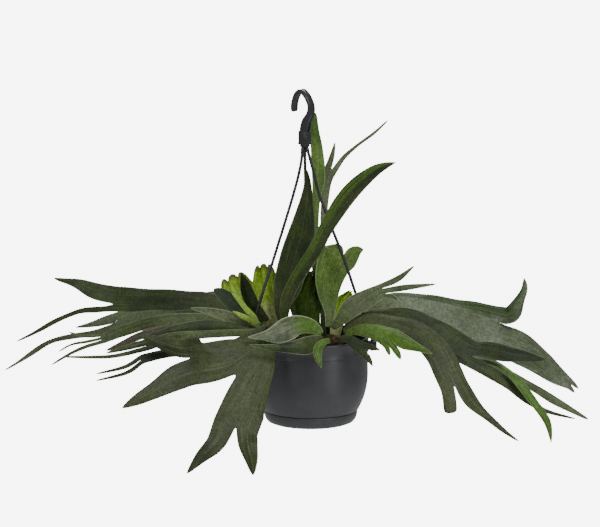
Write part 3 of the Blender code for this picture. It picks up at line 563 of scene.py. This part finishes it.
def scale_surface(name, colour):
    """Dry papery scales, mottled dark and pale."""
    surface, tree, shader = new_surface(name, 0.85, 0.25)
    place = add_node(tree, "ShaderNodeTexCoord").outputs["Object"]
    tone = speckle(tree, place, 260.0, 3.0)
    pale = (colour[0] * 2.0, colour[1] * 2.3, colour[2] * 2.2)
    dark = tuple(part * 0.4 for part in colour)
    paint(tree, shader, blend_colours(tree, remap(tree, tone, 0.32, 0.68), dark, pale))
    add_bump(tree, shader, tone, 0.5, 0.0005)
    return surface


def finish_piece(name, bm, surfaces, slot, *nodes):
    """Turn a bmesh into a piece that rides on the body and stands for its nodes."""
    mesh = bpy.data.meshes.new(name)
    bm.to_mesh(mesh)
    bm.free()
    for surface in surfaces:
        mesh.materials.append(surface)
    mesh.shade_smooth()
    piece = bpy.data.objects.new(name, mesh)
    bpy.context.scene.collection.objects.link(piece)
    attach(piece, BODY)
    if nodes:
        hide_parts(*nodes)
    return piece


def add_subdivision(piece, levels):
    """Smooth a piece, the same in the viewport and in a render."""
    smooth = piece.modifiers.new("Smooth", "SUBSURF")
    smooth.levels = levels
    smooth.render_levels = levels


def bevel(bm, edges, offset, segments):
    """Round edges off by an offset in metres."""
    return bmesh.ops.bevel(bm, geom=edges, offset=offset, affect="EDGES", segments=segments, profile=0.5,
                           material=-1)


def between(a, b, c, d, t):
    """A value part of the way from b to c on a smooth curve that also meets a and d."""
    bend = (2 * a - 5 * b + 4 * c - d) * t * t
    turn = (3 * b - a - 3 * c + d) * t ** 3
    return 0.5 * (2 * b + (c - a) * t + bend + turn)


def smooth_path(points, spacing):
    """A smooth curve through points of any size, with a point about every spacing."""
    first = tuple(2 * a - b for a, b in zip(points[0], points[1]))
    last = tuple(2 * a - b for a, b in zip(points[-1], points[-2]))
    chain = [first, *[tuple(p) for p in points], last]
    path = []
    for i in range(1, len(chain) - 2):
        steps = max(2, round(math.dist(chain[i][:3], chain[i + 1][:3]) / spacing))
        for step in range(steps):
            path.append(tuple(between(*group, step / steps) for group in zip(*chain[i - 1:i + 3])))
    path.append(tuple(points[-1]))
    return path


def ease(t):
    """Smooth start and end."""
    t = min(max(t, 0.0), 1.0)
    return t * t * (3 - 2 * t)


def lobe_count(part):
    """How many tips a stretch of frond ends in."""
    return sum(lobe_count(lobe) for lobe in part[1]) or 1


def side_of(way, face):
    """The direction across a blade that grows one way and faces another."""
    return way.cross(face).normalized()


# How a leaf's sheet is made: columns for each lobe, frill, ribs, and where a fork settles, in millimetres
COLUMNS = 6
FRILL_COLUMNS = 36
FRILL = 2.6
FRILL_WAVES = 3.0
RIB_HEIGHT = 0.8
SETTLE_LENGTH = 18.0
EDGE_LENGTH = 5.0
TIP_ROWS = (0.3, 0.55, 0.76, 0.9, 0.97, 1.0)
POINTED_WIDTH = 5.0


class Leaf:
    """One frond's sheet while it grows, in millimetres from the centre of the pot's rim."""

    def __init__(self, face, curl, wave, frill, columns, phase):
        self.face = Vector(face).normalized()
        self.curl = curl
        self.wave = wave
        self.frill = frill
        self.columns = columns
        self.phase = phase
        self.sizes = bpy.context.scene.fern_sizes
        self.bm = bmesh.new()
        layers = self.bm.verts.layers.float
        self.notes = [layers.new(name) for name in ("across", "along", "edge", "reach", "tip", "margin")]
        self.thick = self.bm.verts.layers.deform.verify()
        self.total = 1.0

    def divide(self, part, start):
        """A stretch's lobes in order across it, and the share of its width at each column."""
        points, lobes = part
        if not lobes:
            return [], [i / self.columns for i in range(self.columns + 1)]
        end = Vector(points[-1][:3])
        before = Vector(points[-2][:3]) if len(points) > 1 else start
        side = side_of(end - before, self.face)
        order = sorted(lobes, key=lambda lobe: (Vector(lobe[0][0][:3]) - end).dot(side))
        whole = sum(lobe[0][0][3] for lobe in order)
        shares = [0.0]
        for lobe in order:
            columns = self.columns * lobe_count(lobe)
            begin = shares[-1]
            shares += [begin + lobe[0][0][3] / whole * (i + 1) / columns for i in range(columns)]
        return order, shares

    def lift(self, share, column, width, along, where, way, normal):
        """How far a point of the blade leaves its flat row: curl, waves, frill, ribs and unevenness."""
        x = 2 * share - 1
        reach = min(1.0, along / self.total)
        out = -self.curl * width * x * x
        ripple = math.sin(along / 9.0 + self.phase + 1.6 * (x > 0))
        out += self.wave * min(1.0, width / 12.0) * abs(x) ** 2.5 * ripple
        if column % self.columns == self.columns // 2 and not self.frill:
            out += min(RIB_HEIGHT, 0.06 * width)
        out += self.sizes.leaf_unevenness * noise.noise(where / 24.0 + Vector((self.phase, 0.0, 0.0)))
        scallop = 2.6 * abs(math.sin(share * FRILL_WAVES * math.pi)) ** 0.5
        forward = self.frill * reach ** 6 * (scallop - 4.5 * x ** 4)
        out += 1.3 * self.frill * reach ** 2 * math.sin(share * FRILL_WAVES * math.tau + self.phase)
        return normal * out + way * forward

    def grow(self, row, part, along, column):
        """Extrude a row along a stretch of frond, then along each of its lobes."""
        points, lobes = part
        start = (row[0].co + row[-1].co) / 2
        width = (row[0].co - row[-1].co).length
        order, shares = self.divide(part, start)
        path = smooth_path([(*start, width), *points], self.sizes.row_spacing)
        if not lobes and not self.frill:
            path = with_tip(path)
        side_before = (row[-1].co - row[0].co).normalized()
        shares_before = [(v.co - row[0].co).dot(side_before) / width for v in row]
        lift_before = [v.co - row[0].co.lerp(row[-1].co, s) for v, s in zip(row, shares_before)]
        edge_before = [v[self.notes[2]] for v in row]
        settle = max(SETTLE_LENGTH, 0.6 * width)
        gone = 0.0
        for i in range(1, len(path)):
            centre, past = Vector(path[i][:3]), Vector(path[i - 1][:3])
            gone += (centre - past).length
            way = (Vector(path[min(i + 1, len(path) - 1)][:3]) - past).normalized()
            t = ease(gone / settle)
            side = side_before.lerp(side_of(way, self.face), t).normalized()
            normal = side.cross(way).normalized()
            if normal.dot(self.face) < 0:
                normal.negate()
            row = self.next_row(row)
            for j, vertex in enumerate(row):
                share = shares_before[j] + (shares[j] - shares_before[j]) * t
                flat = centre + side * path[i][3] * (share - 0.5)
                lifted = self.lift(shares[j], column + j, path[i][3], along + gone, flat, way, normal)
                vertex.co = flat + lift_before[j].lerp(lifted, t)
                edge = edge_before[j] + (abs(2 * shares[j] - 1) - edge_before[j]) * ease(gone / EDGE_LENGTH)
                tip = 0.0 if lobes else i / (len(path) - 1)
                self.note(vertex, column + j, along + gone, edge, tip, path[i][3])
        begin = 0
        for lobe in order:
            columns = self.columns * lobe_count(lobe)
            self.grow(row[begin:begin + columns + 1], lobe, along + gone, column + begin)
            begin += columns

    def next_row(self, row):
        """Extrude a row of points and return the new one in the same order."""
        edges = [self.bm.edges.get((a, b)) for a, b in zip(row, row[1:])]
        made = bmesh.ops.extrude_edge_only(self.bm, edges=edges)["geom"]
        fresh = {item for item in made if isinstance(item, bmesh.types.BMVert)}
        return [next(e.other_vert(v) for e in v.link_edges if e.other_vert(v) in fresh) for v in row]

    def note(self, vertex, column, along, edge, tip, width):
        """Note where a point lies on the blade, for its colour and its thickness."""
        values = (column / self.columns, along * 0.01, edge, min(1.0, along / self.total), tip,
                  (1.0 - edge) * width / 2)
        for layer, value in zip(self.notes, values):
            vertex[layer] = value
        vertex[self.thick][0] = 1.0 - 0.75 * edge ** 6

    def length(self, part, start):
        """The longest way from a place to a tip."""
        points, lobes = part
        spots = [start, *[Vector(p[:3]) for p in points]]
        own = sum((b - a).length for a, b in zip(spots, spots[1:]))
        return own + max([self.length(lobe, spots[-1]) for lobe in lobes], default=0.0)

    def build(self, part):
        """The whole sheet, from its stalk to its tips, facing its own way."""
        points, lobes = part
        start = Vector(points[0][:3])
        side = side_of(Vector(points[1][:3]) - start, self.face)
        shares = self.divide(part, start)[1]
        self.total = self.length((points[1:], lobes), start)
        row = [self.bm.verts.new(start + side * points[0][3] * (share - 0.5)) for share in shares]
        for j, vertex in enumerate(row):
            self.note(vertex, j, 0.0, abs(2 * shares[j] - 1), 0.0, points[0][3])
        for a, b in zip(row, row[1:]):
            self.bm.edges.new((a, b))
        self.grow(row, (points[1:], lobes), 0.0, 0)
        self.bm.normal_update()
        if sum(face.normal.dot(self.face) * face.calc_area() for face in self.bm.faces) < 0:
            bmesh.ops.reverse_faces(self.bm, faces=self.bm.faces[:])
        bmesh.ops.scale(self.bm, vec=(MM, MM, MM), verts=self.bm.verts)
        bmesh.ops.translate(self.bm, vec=RIM, verts=self.bm.verts)
        return self.bm


def with_tip(path):
    """More rows near a lobe's end, whose width rounds off."""
    before, end = path[-2], path[-1]
    round_off = 0.8 if end[3] > POINTED_WIDTH else 1.0
    tip = []
    for t in TIP_ROWS:
        place = [a + (b - a) * t for a, b in zip(before, end)]
        place[3] *= max(0.15, math.sqrt(1.0 - round_off * t * t))
        tip.append(tuple(place))
    return path[:-1] + tip


def make_fronds(names):
    """Build the named fronds, each with its own two sides and edge."""
    sizes = bpy.context.scene.fern_sizes
    for name in names:
        finish, face, curl, wave, swing, part = FRONDS[name]
        frilled = name.startswith("shield")
        phase = float(sum(map(ord, name)) % 17)
        leaf = Leaf(face, curl, wave, FRILL if frilled else 0.0, FRILL_COLUMNS if frilled else COLUMNS, phase)
        bm = leaf.build(swung(part, swing))
        surfaces = (leaf_surface(finish, False), leaf_surface(finish, True))
        piece = finish_piece(f"{name}_leaf", bm, surfaces, LEAF_FINISHES[finish]["slot"], name)
        piece.vertex_groups.new(name="thick")
        shell = piece.modifiers.new("Thickness", "SOLIDIFY")
        shell.thickness = sizes.leaf_thickness
        shell.offset = 0.0
        shell.vertex_group = "thick"
        shell.thickness_vertex_group = 0.25
        shell.material_offset = 1
        add_subdivision(piece, 1)


def spin_profile(profile, steps):
    """A profile of (radius, height) spun about the pot's axis, closed and facing out."""
    bm = bmesh.new()
    chain = [bm.verts.new((AXIS.x + r * MM, AXIS.y, RIM.z + z * MM)) for r, z in profile]
    edges = [bm.edges.new((a, b)) for a, b in zip(chain, chain[1:])]
    bmesh.ops.spin(bm, geom=chain + edges, cent=(AXIS.x, AXIS.y, 0.0), axis=(0.0, 0.0, 1.0),
                   angle=math.tau, steps=steps, use_merge=True)
    bmesh.ops.remove_doubles(bm, verts=bm.verts, dist=0.00001)
    bmesh.ops.recalc_face_normals(bm, faces=bm.faces)
    return bm


def rounded(profile, corners):
    """Replace sharp corners of a profile with short arcs: corners maps an index to a radius."""
    result = []
    for i, point in enumerate(profile):
        radius = corners.get(i, 0.0)
        if not radius:
            result.append(point)
            continue
        here, before, after = Vector(point), Vector(profile[i - 1]), Vector(profile[i + 1])
        start = here + (before - here).normalized() * radius
        stop = here + (after - here).normalized() * radius
        for step in range(5):
            t = step / 4
            spot = start * (1 - t) ** 2 + here * 2 * t * (1 - t) + stop * t * t
            result.append((spot.x, spot.y))
    return result


def belly_radius(height, inset=0.0):
    """The pot's belly is an ellipse below its widest place."""
    fall = min(0.0, height - BELLY_TOP) / BELLY_HALF_HEIGHT
    return BELLY_RADIUS * math.sqrt(1.0 - fall * fall) - inset


class FERN_OT_pot(bpy.types.Operator):
    """Pot with a rolled rim, a stepped collar, a rounded belly, a foot and three ears"""
    bl_idname = "fern.pot"
    bl_label = "Pot"

    def execute(self, context):
        wall, bottom = WALL, -POT_DEPTH
        belly = [BELLY_TOP + (POT_BOTTOM - BELLY_TOP) * i / 14 for i in range(15)]
        inside = [(0.0, bottom + wall), (FOOT_RADIUS - wall, bottom + wall),
                  (FOOT_RADIUS - wall, POT_BOTTOM + wall)]
        inside += [(belly_radius(z + wall, wall), z + wall) for z in reversed(belly)]
        inside += [(RIM_RADIUS - wall, -20.0), (RIM_RADIUS - wall, 0.0)]
        lip = len(inside) - 1
        outside = [(RIM_RADIUS, 0.0), (RIM_RADIUS, -3.0), (RIM_RADIUS - 0.6, -3.6), (RIM_RADIUS - 0.3, -17.5),
                   (RIM_RADIUS, -19.0), (BELLY_RADIUS - 0.5, -20.0)]
        outside += [(belly_radius(z), z) for z in belly]
        outside += [(FOOT_RADIUS, POT_BOTTOM), (FOOT_RADIUS, bottom), (0.0, bottom)]
        profile = rounded(inside + outside, {lip: 0.9, lip + 1: 0.9, lip + 2: 0.3, lip + 5: 0.5})
        plastic = plastic_surface("pot_plastic", tuple(context.scene.fern_colours.plastic), 0.36)
        bm = spin_profile(profile, context.scene.fern_sizes.round_steps)
        pot = finish_piece("pot_shell", bm, (plastic,), "pot_plastic", "pot")
        pot.data.set_sharp_from_angle(angle=math.radians(50.0))
        for side, degrees in EAR_ANGLES.items():
            self.add_ear(side, math.radians(degrees), plastic)
        return {"FINISHED"}

    def add_ear(self, side, angle, plastic):
        """A flat ear: a ring around the arm's hole and a web back to the wall."""
        bm = bmesh.new()
        half = EAR_HEIGHT / 2 * MM
        ring = [(EAR_HOLE, -half), (EAR_RING, -half), (EAR_RING, half), (EAR_HOLE, half)]
        chain = [bm.verts.new((r * MM, 0.0, z)) for r, z in ring]
        edges = [bm.edges.new((a, b)) for a, b in zip(chain, chain[1:] + chain[:1])]
        bmesh.ops.spin(bm, geom=chain + edges, cent=(0, 0, 0), axis=(0, 0, 1), angle=math.tau, steps=28,
                       use_merge=True)
        bmesh.ops.remove_doubles(bm, verts=bm.verts, dist=0.00001)
        for height in (half, -half):
            sharp = [e for e in bm.edges if all(abs(v.co.z - height) < 1e-6 for v in e.verts)
                     and abs(e.verts[0].co.length - e.verts[1].co.length) < 1e-6]
            bevel(bm, sharp, 0.0006, 2)
        web = bmesh.ops.create_cube(bm, size=1.0)["verts"]
        bmesh.ops.scale(bm, vec=(0.0055, 0.0100, EAR_HEIGHT * MM * 0.7), verts=web)
        bmesh.ops.translate(bm, vec=(-0.0068, 0.0, 0.0), verts=web)
        bmesh.ops.recalc_face_normals(bm, faces=bm.faces)
        turn = Matrix.Rotation(angle, 4, "Z")
        place = Vector((EAR_RADIUS * MM, 0.0, (EAR_TOP - EAR_HEIGHT / 2) * MM))
        move = Matrix.Translation(RIM) @ turn @ Matrix.Translation(place)
        bmesh.ops.transform(bm, matrix=move, verts=bm.verts)
        ear = finish_piece(f"pot_ear_{side}", bm, (plastic,), "pot_plastic")
        ear.data.set_sharp_from_angle(angle=math.radians(40.0))


class FERN_OT_saucer(bpy.types.Operator):
    """Round saucer with a rolled lip"""
    bl_idname = "fern.saucer"
    bl_label = "Saucer"

    def execute(self, context):
        wall, floor, base = WALL, SAUCER_FLOOR, SAUCER_BASE
        drop = SAUCER_TOP - SAUCER_BOTTOM
        steps = [i / 12 for i in range(13)]

        def side(t, inset):
            return base + (SAUCER_RADIUS - base) * math.sqrt(1.0 - t * t) - inset

        inside = [(0.0, SAUCER_BOTTOM + floor)]
        inside += [(side(t, wall), max(SAUCER_BOTTOM + floor, SAUCER_TOP - t * drop))
                   for t in reversed(steps[:10])]
        lip = len(inside) - 1
        outside = [(side(t, 0.0), SAUCER_TOP - t * drop) for t in steps]
        profile = rounded(inside + outside + [(0.0, SAUCER_BOTTOM)], {lip: 0.7, lip + 1: 0.7})
        plastic = plastic_surface("saucer_plastic", tuple(context.scene.fern_colours.plastic), 0.32)
        bm = spin_profile(profile, context.scene.fern_sizes.round_steps)
        piece = finish_piece("saucer_dish", bm, (plastic,), "pot_plastic", "saucer")
        piece.data.set_sharp_from_angle(angle=math.radians(60.0))
        return {"FINISHED"}


def sweep(bm, loops):
    """Extrude a closed loop of points through the loops that follow it, and close both ends."""
    ring = [bm.verts.new(point) for point in loops[0]]
    first = [bm.edges.new((a, b)) for a, b in zip(ring, ring[1:] + ring[:1])]
    for loop in loops[1:]:
        edges = [bm.edges.get((a, b)) for a, b in zip(ring, ring[1:] + ring[:1])]
        made = bmesh.ops.extrude_edge_only(bm, edges=edges)["geom"]
        fresh = {item for item in made if isinstance(item, bmesh.types.BMVert)}
        ring = [next(e.other_vert(v) for e in v.link_edges if e.other_vert(v) in fresh) for v in ring]
        for vertex, point in zip(ring, loop):
            vertex.co = point
    bmesh.ops.contextual_create(bm, geom=first)
    bmesh.ops.contextual_create(bm, geom=[bm.edges.get((a, b)) for a, b in zip(ring, ring[1:] + ring[:1])])
    bmesh.ops.recalc_face_normals(bm, faces=bm.faces)


class FERN_OT_hanger(bpy.types.Operator):
    """Hook with a channelled strap that swells into its head, and three arms"""
    bl_idname = "fern.hanger"
    bl_label = "Hanger"

    def execute(self, context):
        plastic = plastic_surface("hanger_plastic", tuple(context.scene.fern_colours.hanger), 0.30)
        self.make_hook(plastic)
        for side, bends in ARM_BENDS.items():
            self.make_arm(side, bends, plastic)
        return {"FINISHED"}

    def make_hook(self, plastic):
        """The strap has a shallow channel along both of its broad faces."""
        bm = bmesh.new()
        path = smooth_path(HOOK_ROUTE, 2.0)
        wide, thick, channel = STRAP_WIDTH / 2, STRAP_THICK / 2, 0.7
        section = [(-wide, -thick + 0.8), (-wide + 0.8, -thick), (-wide + 2, -thick),
                   (-wide + 2.6, -thick + channel), (wide - 2.6, -thick + channel), (wide - 2, -thick),
                   (wide - 0.8, -thick), (wide, -thick + 0.8)]
        section += [(-x, -y) for x, y in section]
        across = Vector((-math.sin(HOOK_TURN), math.cos(HOOK_TURN), 0.0))
        out = Vector((math.cos(HOOK_TURN), math.sin(HOOK_TURN), 0.0))
        loops = []
        for i, (u, z) in enumerate(path):
            before, after = path[max(i - 1, 0)], path[min(i + 1, len(path) - 1)]
            way = Vector((after[0] - before[0], after[1] - before[1])).normalized()
            normal = out * way.y - Vector((0.0, 0.0, way.x))
            end = 0.72 if i == 0 else 0.92 if i == 1 else 1.0
            swell = 1.0 + HEAD_SWELL * ease((i / (len(path) - 1) - 0.55) / 0.45)
            centre = Vector((HEAD_X, 0.0, z)) + out * u
            loops.append([RIM + (centre + (across * a + normal * b * swell) * end) * MM for a, b in section])
        sweep(bm, loops)
        self.add_block(bm, HEAD_TOP + 0.4, HEAD_BOTTOM + 3.0, HEAD_WIDTH, STRAP_WIDTH, 1.2)
        self.add_block(bm, HEAD_BOTTOM + 3.4, HEAD_BOTTOM, HEAD_WIDTH - 4.0, STRAP_WIDTH - 2.0, 0.8)
        self.add_block(bm, HEAD_BOTTOM + 5.2, HEAD_BOTTOM + 3.2, HEAD_WIDTH + 0.8, STRAP_WIDTH + 0.8, 0.6)
        hook = finish_piece("hook_strap", bm, (plastic,), "hanger_plastic", "hanger_hook")
        hook.data.set_sharp_from_angle(angle=math.radians(45.0))

    def add_block(self, bm, top, bottom, wide, deep, round_by):
        """A rounded block of the head, in line with the hook."""
        verts = bmesh.ops.create_cube(bm, size=1.0)["verts"]
        bmesh.ops.scale(bm, vec=Vector((wide, deep, top - bottom)) * MM, verts=verts)
        edges = list({edge for vertex in verts for edge in vertex.link_edges})
        made = bevel(bm, edges, min(round_by, (top - bottom) * 0.4) * MM, 3)
        block = list({vertex for face in made["faces"] for vertex in face.verts})
        turn = Matrix.Rotation(HOOK_TURN, 4, "Z")
        place = RIM + Vector((HEAD_X, 0.0, (top + bottom) / 2)) * MM
        bmesh.ops.transform(bm, matrix=Matrix.Translation(place) @ turn, verts=block)

    def make_arm(self, side, bends, plastic):
        """A round arm with a collar under the head and a stop and knob at the ear."""
        angle = math.radians(EAR_ANGLES[side])
        x, y = EAR_RADIUS * math.cos(angle), EAR_RADIUS * math.sin(angle)
        path = smooth_path([*bends, (x, y, EAR_TOP + 2)], 4.0)
        stops = [(Vector(p), ARM_RADIUS * (1.2 if i < 2 else 1.0)) for i, p in enumerate(path)]
        low = EAR_TOP - EAR_HEIGHT
        for drop, radius in ARM_KNOB:
            stops.append((Vector((x, y, low - drop)), radius))
        loops = []
        for i, (centre, radius) in enumerate(stops):
            way = (stops[min(i + 1, len(stops) - 1)][0] - stops[max(i - 1, 0)][0]).normalized()
            first = way.cross(Vector((0.0, 1.0, 0.1))).normalized()
            second = way.cross(first).normalized()
            loops.append([RIM + (centre + (first * math.cos(a) + second * math.sin(a)) * radius) * MM
                          for a in (math.tau * k / 12 for k in range(12))])
        bm = bmesh.new()
        sweep(bm, loops)
        finish_piece(f"arm_{side}_rod", bm, (plastic,), "hanger_plastic", f"hanger_arm_{side}")


class FERN_OT_soil(bpy.types.Operator):
    """Potting bark: a lumpy bed under loose chips"""
    bl_idname = "fern.soil"
    bl_label = "Soil"

    def execute(self, context):
        bark = bark_surface("bark", tuple(context.scene.fern_colours.bark))
        rings = [(SOIL_RADIUS * i / 14, SOIL_TOP - 1.2) for i in range(15)]
        walls = [(belly_radius(z, 2.9), z) for z in (-30.0, -60.0, POT_BOTTOM + 4.0)]
        bm = spin_profile(rings + walls + [(0.0, POT_BOTTOM + 4.0)], 56)
        for vertex in bm.verts:
            if vertex.co.z > RIM.z + (SOIL_TOP - 2.0) * MM:
                vertex.co.z += 0.0022 * noise.noise(vertex.co * 90.0)
        finish_piece("soil_bed", bm, (bark,), "bark", "soil")
        self.add_chips(bark, context.scene.fern_sizes.bark_chips)
        return {"FINISHED"}

    def add_chips(self, bark, count):
        """Flat broken chips lying at all angles."""
        dice = random.Random(5)
        bm = bmesh.new()
        for _ in range(count):
            verts = bmesh.ops.create_cube(bm, size=1.0)["verts"]
            for vertex in verts:
                vertex.co *= dice.uniform(0.65, 1.1)
            length = dice.uniform(4.0, 9.5)
            size = Vector((length, length * dice.uniform(0.35, 0.8), dice.uniform(1.2, 2.6))) * MM
            radius = CHIPS_RADIUS * math.sqrt(dice.random())
            angle = dice.uniform(0.0, math.tau)
            height = SOIL_TOP + dice.uniform(-0.5, 1.4)
            place = Vector((radius * math.cos(angle), radius * math.sin(angle), height))
            tilt = (Matrix.Rotation(dice.uniform(-0.4, 0.4), 4, "X")
                    @ Matrix.Rotation(dice.uniform(-0.4, 0.4), 4, "Y"))
            turn = Matrix.Rotation(dice.uniform(0.0, math.tau), 4, "Z")
            move = Matrix.Translation(RIM + place * MM) @ turn @ tilt @ Matrix.Diagonal((*size, 1.0))
            bmesh.ops.transform(bm, matrix=move, verts=verts)
        bevel(bm, bm.edges[:], 0.0003, 1)
        finish_piece("bark_chips", bm, (bark,), "bark")


class FERN_OT_crowns(bpy.types.Operator):
    """The two rhizomes that the fronds grow from, under dry scales"""
    bl_idname = "fern.crowns"
    bl_label = "Crowns"

    def execute(self, context):
        scales = scale_surface("crown_scales", tuple(context.scene.fern_colours.crown))
        for seed, name in enumerate(("crown_left", "crown_right")):
            low, high = (Vector(corner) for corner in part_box(name))
            self.make_crown(name, (low + high) / 2, (high - low) / 2, seed, scales, context)
        return {"FINISHED"}

    def make_crown(self, name, middle, half, seed, scales, context):
        """A lumpy body with pointed scales that lie back over each other."""
        bm = bmesh.new()
        body = bmesh.ops.create_uvsphere(bm, u_segments=32, v_segments=20, radius=0.9)["verts"]
        for vertex in body:
            vertex.co *= 1.0 + 0.08 * noise.noise(vertex.co * 3.0)
        bmesh.ops.transform(bm, matrix=Matrix.Translation(middle) @ Matrix.Diagonal((*half, 1.0)), verts=body)
        dice = random.Random(seed)
        count = context.scene.fern_sizes.crown_scales
        for i in range(count):
            height = 1.0 - 1.25 * (i + 0.5) / count
            angle = i * math.pi * (3.0 - math.sqrt(5.0))
            level = math.sqrt(max(0.0, 1.0 - height * height))
            out = Vector((level * math.cos(angle), level * math.sin(angle), height))
            spot = Vector(a * b for a, b in zip(out, half)) * 0.88 + middle
            lean = (out + Vector((0.0, 0.0, 0.5))).normalized()
            cone = bmesh.ops.create_cone(bm, cap_ends=True, segments=5, radius1=0.0011, radius2=0.0002,
                                         depth=dice.uniform(0.0032, 0.0052))["verts"]
            turn = lean.to_track_quat("Z", "Y").to_matrix().to_4x4()
            flat = Matrix.Diagonal((1.0, 0.45, 1.0, 1.0))
            bmesh.ops.transform(bm, matrix=Matrix.Translation(spot) @ turn @ flat, verts=cone)
        finish_piece(f"{name}_scales", bm, (scales,), "crown", name)


class FERN_OT_left_fronds(bpy.types.Operator):
    """The fronds and leaves on the left"""
    bl_idname = "fern.left_fronds"
    bl_label = "Left fronds"

    def execute(self, context):
        make_fronds([name for name in FRONDS if "left" in name and not name.startswith("shield")])
        return {"FINISHED"}


class FERN_OT_right_fronds(bpy.types.Operator):
    """The fronds on the right, and the upright leaf, whose name holds the same letters"""
    bl_idname = "fern.right_fronds"
    bl_label = "Right fronds"

    def execute(self, context):
        make_fronds([name for name in FRONDS if "right" in name and not name.startswith("shield")])
        return {"FINISHED"}


class FERN_OT_middle_fronds(bpy.types.Operator):
    """The upright, front and back fronds between the two sides, and the middle shield"""
    bl_idname = "fern.middle_fronds"
    bl_label = "Middle fronds"

    def execute(self, context):
        make_fronds([name for name in FRONDS if "left" not in name and "right" not in name])
        return {"FINISHED"}


class FERN_OT_shields(bpy.types.Operator):
    """The frilled shield fronds at the back"""
    bl_idname = "fern.shields"
    bl_label = "Shields"

    def execute(self, context):
        make_fronds([name for name in FRONDS if name.startswith("shield")])
        return {"FINISHED"}


class FERN_OT_stage(bpy.types.Operator):
    """Pale floor, soft lights and the camera"""
    bl_idname = "fern.stage"
    bl_label = "Stage"

    def execute(self, context):
        self.make_floor(tuple(context.scene.fern_colours.floor))
        world = bpy.data.worlds.new("studio")
        world.use_nodes = True
        world.node_tree.nodes["Background"].inputs["Color"].default_value = WORLD_COLOUR
        world.node_tree.nodes["Background"].inputs["Strength"].default_value = WORLD_STRENGTH
        context.scene.world = world
        for name, values in LIGHTS.items():
            self.add_light(name, *values)
        self.add_camera(context)
        return {"FINISHED"}

    def make_floor(self, colour):
        """A wide plain floor below the lowest frond."""
        bm = bmesh.new()
        bmesh.ops.create_grid(bm, x_segments=1, y_segments=1, size=FLOOR_SIZE)
        bmesh.ops.translate(bm, vec=(0.0, 0.0, FLOOR_HEIGHT), verts=bm.verts)
        mesh = bpy.data.meshes.new("floor")
        bm.to_mesh(mesh)
        bm.free()
        surface, tree, shader = new_surface("floor_paint", 0.8, 0.2)
        shader.inputs["Base Color"].default_value = (*colour, 1.0)
        shader.inputs["Emission Color"].default_value = (*colour, 1.0)
        seen = add_node(tree, "ShaderNodeLightPath").outputs["Is Camera Ray"]
        tree.links.new(calculate(tree, "MULTIPLY", seen, FLOOR_GLOW), shader.inputs["Emission Strength"])
        mesh.materials.append(surface)
        floor = bpy.data.objects.new("floor", mesh)
        bpy.context.scene.collection.objects.link(floor)

    def add_light(self, name, place, width, height, power):
        """A soft light that looks at the plant."""
        data = bpy.data.lights.new(name, "AREA")
        data.shape = "RECTANGLE"
        data.size = width
        data.size_y = height
        data.energy = power
        lamp = bpy.data.objects.new(name, data)
        lamp.location = place
        lamp.rotation_euler = (RIM - Vector(place)).to_track_quat("-Z", "Y").to_euler()
        bpy.context.scene.collection.objects.link(lamp)

    def add_camera(self, context):
        """A long lens, a little above the plant."""
        way = Vector((0.0, math.cos(CAMERA_ELEVATION), -math.sin(CAMERA_ELEVATION)))
        data = bpy.data.cameras.new("camera")
        data.sensor_width = 36.0
        data.lens = data.sensor_width * CAMERA_DISTANCE / CAMERA_WIDTH
        data.clip_end = 200.0
        camera = bpy.data.objects.new("camera", data)
        camera.location = Vector(CAMERA_TARGET) - way * CAMERA_DISTANCE
        camera.rotation_euler = way.to_track_quat("-Z", "Y").to_euler()
        context.scene.collection.objects.link(camera)
        context.scene.camera = camera


STEPS = (FERN_OT_stage, FERN_OT_pot, FERN_OT_saucer, FERN_OT_hanger, FERN_OT_soil, FERN_OT_crowns,
         FERN_OT_shields, FERN_OT_left_fronds, FERN_OT_right_fronds, FERN_OT_middle_fronds)


class FERN_PT_panel(bpy.types.Panel):
    """The fern's sizes, colours and steps"""
    bl_idname = "FERN_PT_panel"
    bl_label = "Staghorn fern"
    bl_space_type = "VIEW_3D"
    bl_region_type = "UI"
    bl_category = "Fern"

    def draw(self, context):
        for group in (context.scene.fern_sizes, context.scene.fern_colours):
            for key in group.bl_rna.properties.keys():
                if key not in {"rna_type", "name"}:
                    self.layout.prop(group, key)
        for step in STEPS:
            self.layout.operator(step.bl_idname)


CLASSES = (FernSizes, FernColours, *STEPS, FERN_PT_panel)


def register():
    """Add the classes and the scene's settings."""
    for item in CLASSES:
        bpy.utils.register_class(item)
    bpy.types.Scene.fern_sizes = PointerProperty(type=FernSizes)
    bpy.types.Scene.fern_colours = PointerProperty(type=FernColours)


def unregister():
    """Take them away again."""
    del bpy.types.Scene.fern_colours
    del bpy.types.Scene.fern_sizes
    for item in reversed(CLASSES):
        bpy.utils.unregister_class(item)


def main():
    """Run every step in order."""
    register()
    for step in STEPS:
        getattr(bpy.ops.fern, step.bl_idname.split(".")[1])()
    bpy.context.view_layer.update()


if __name__ == "__main__":
    main()
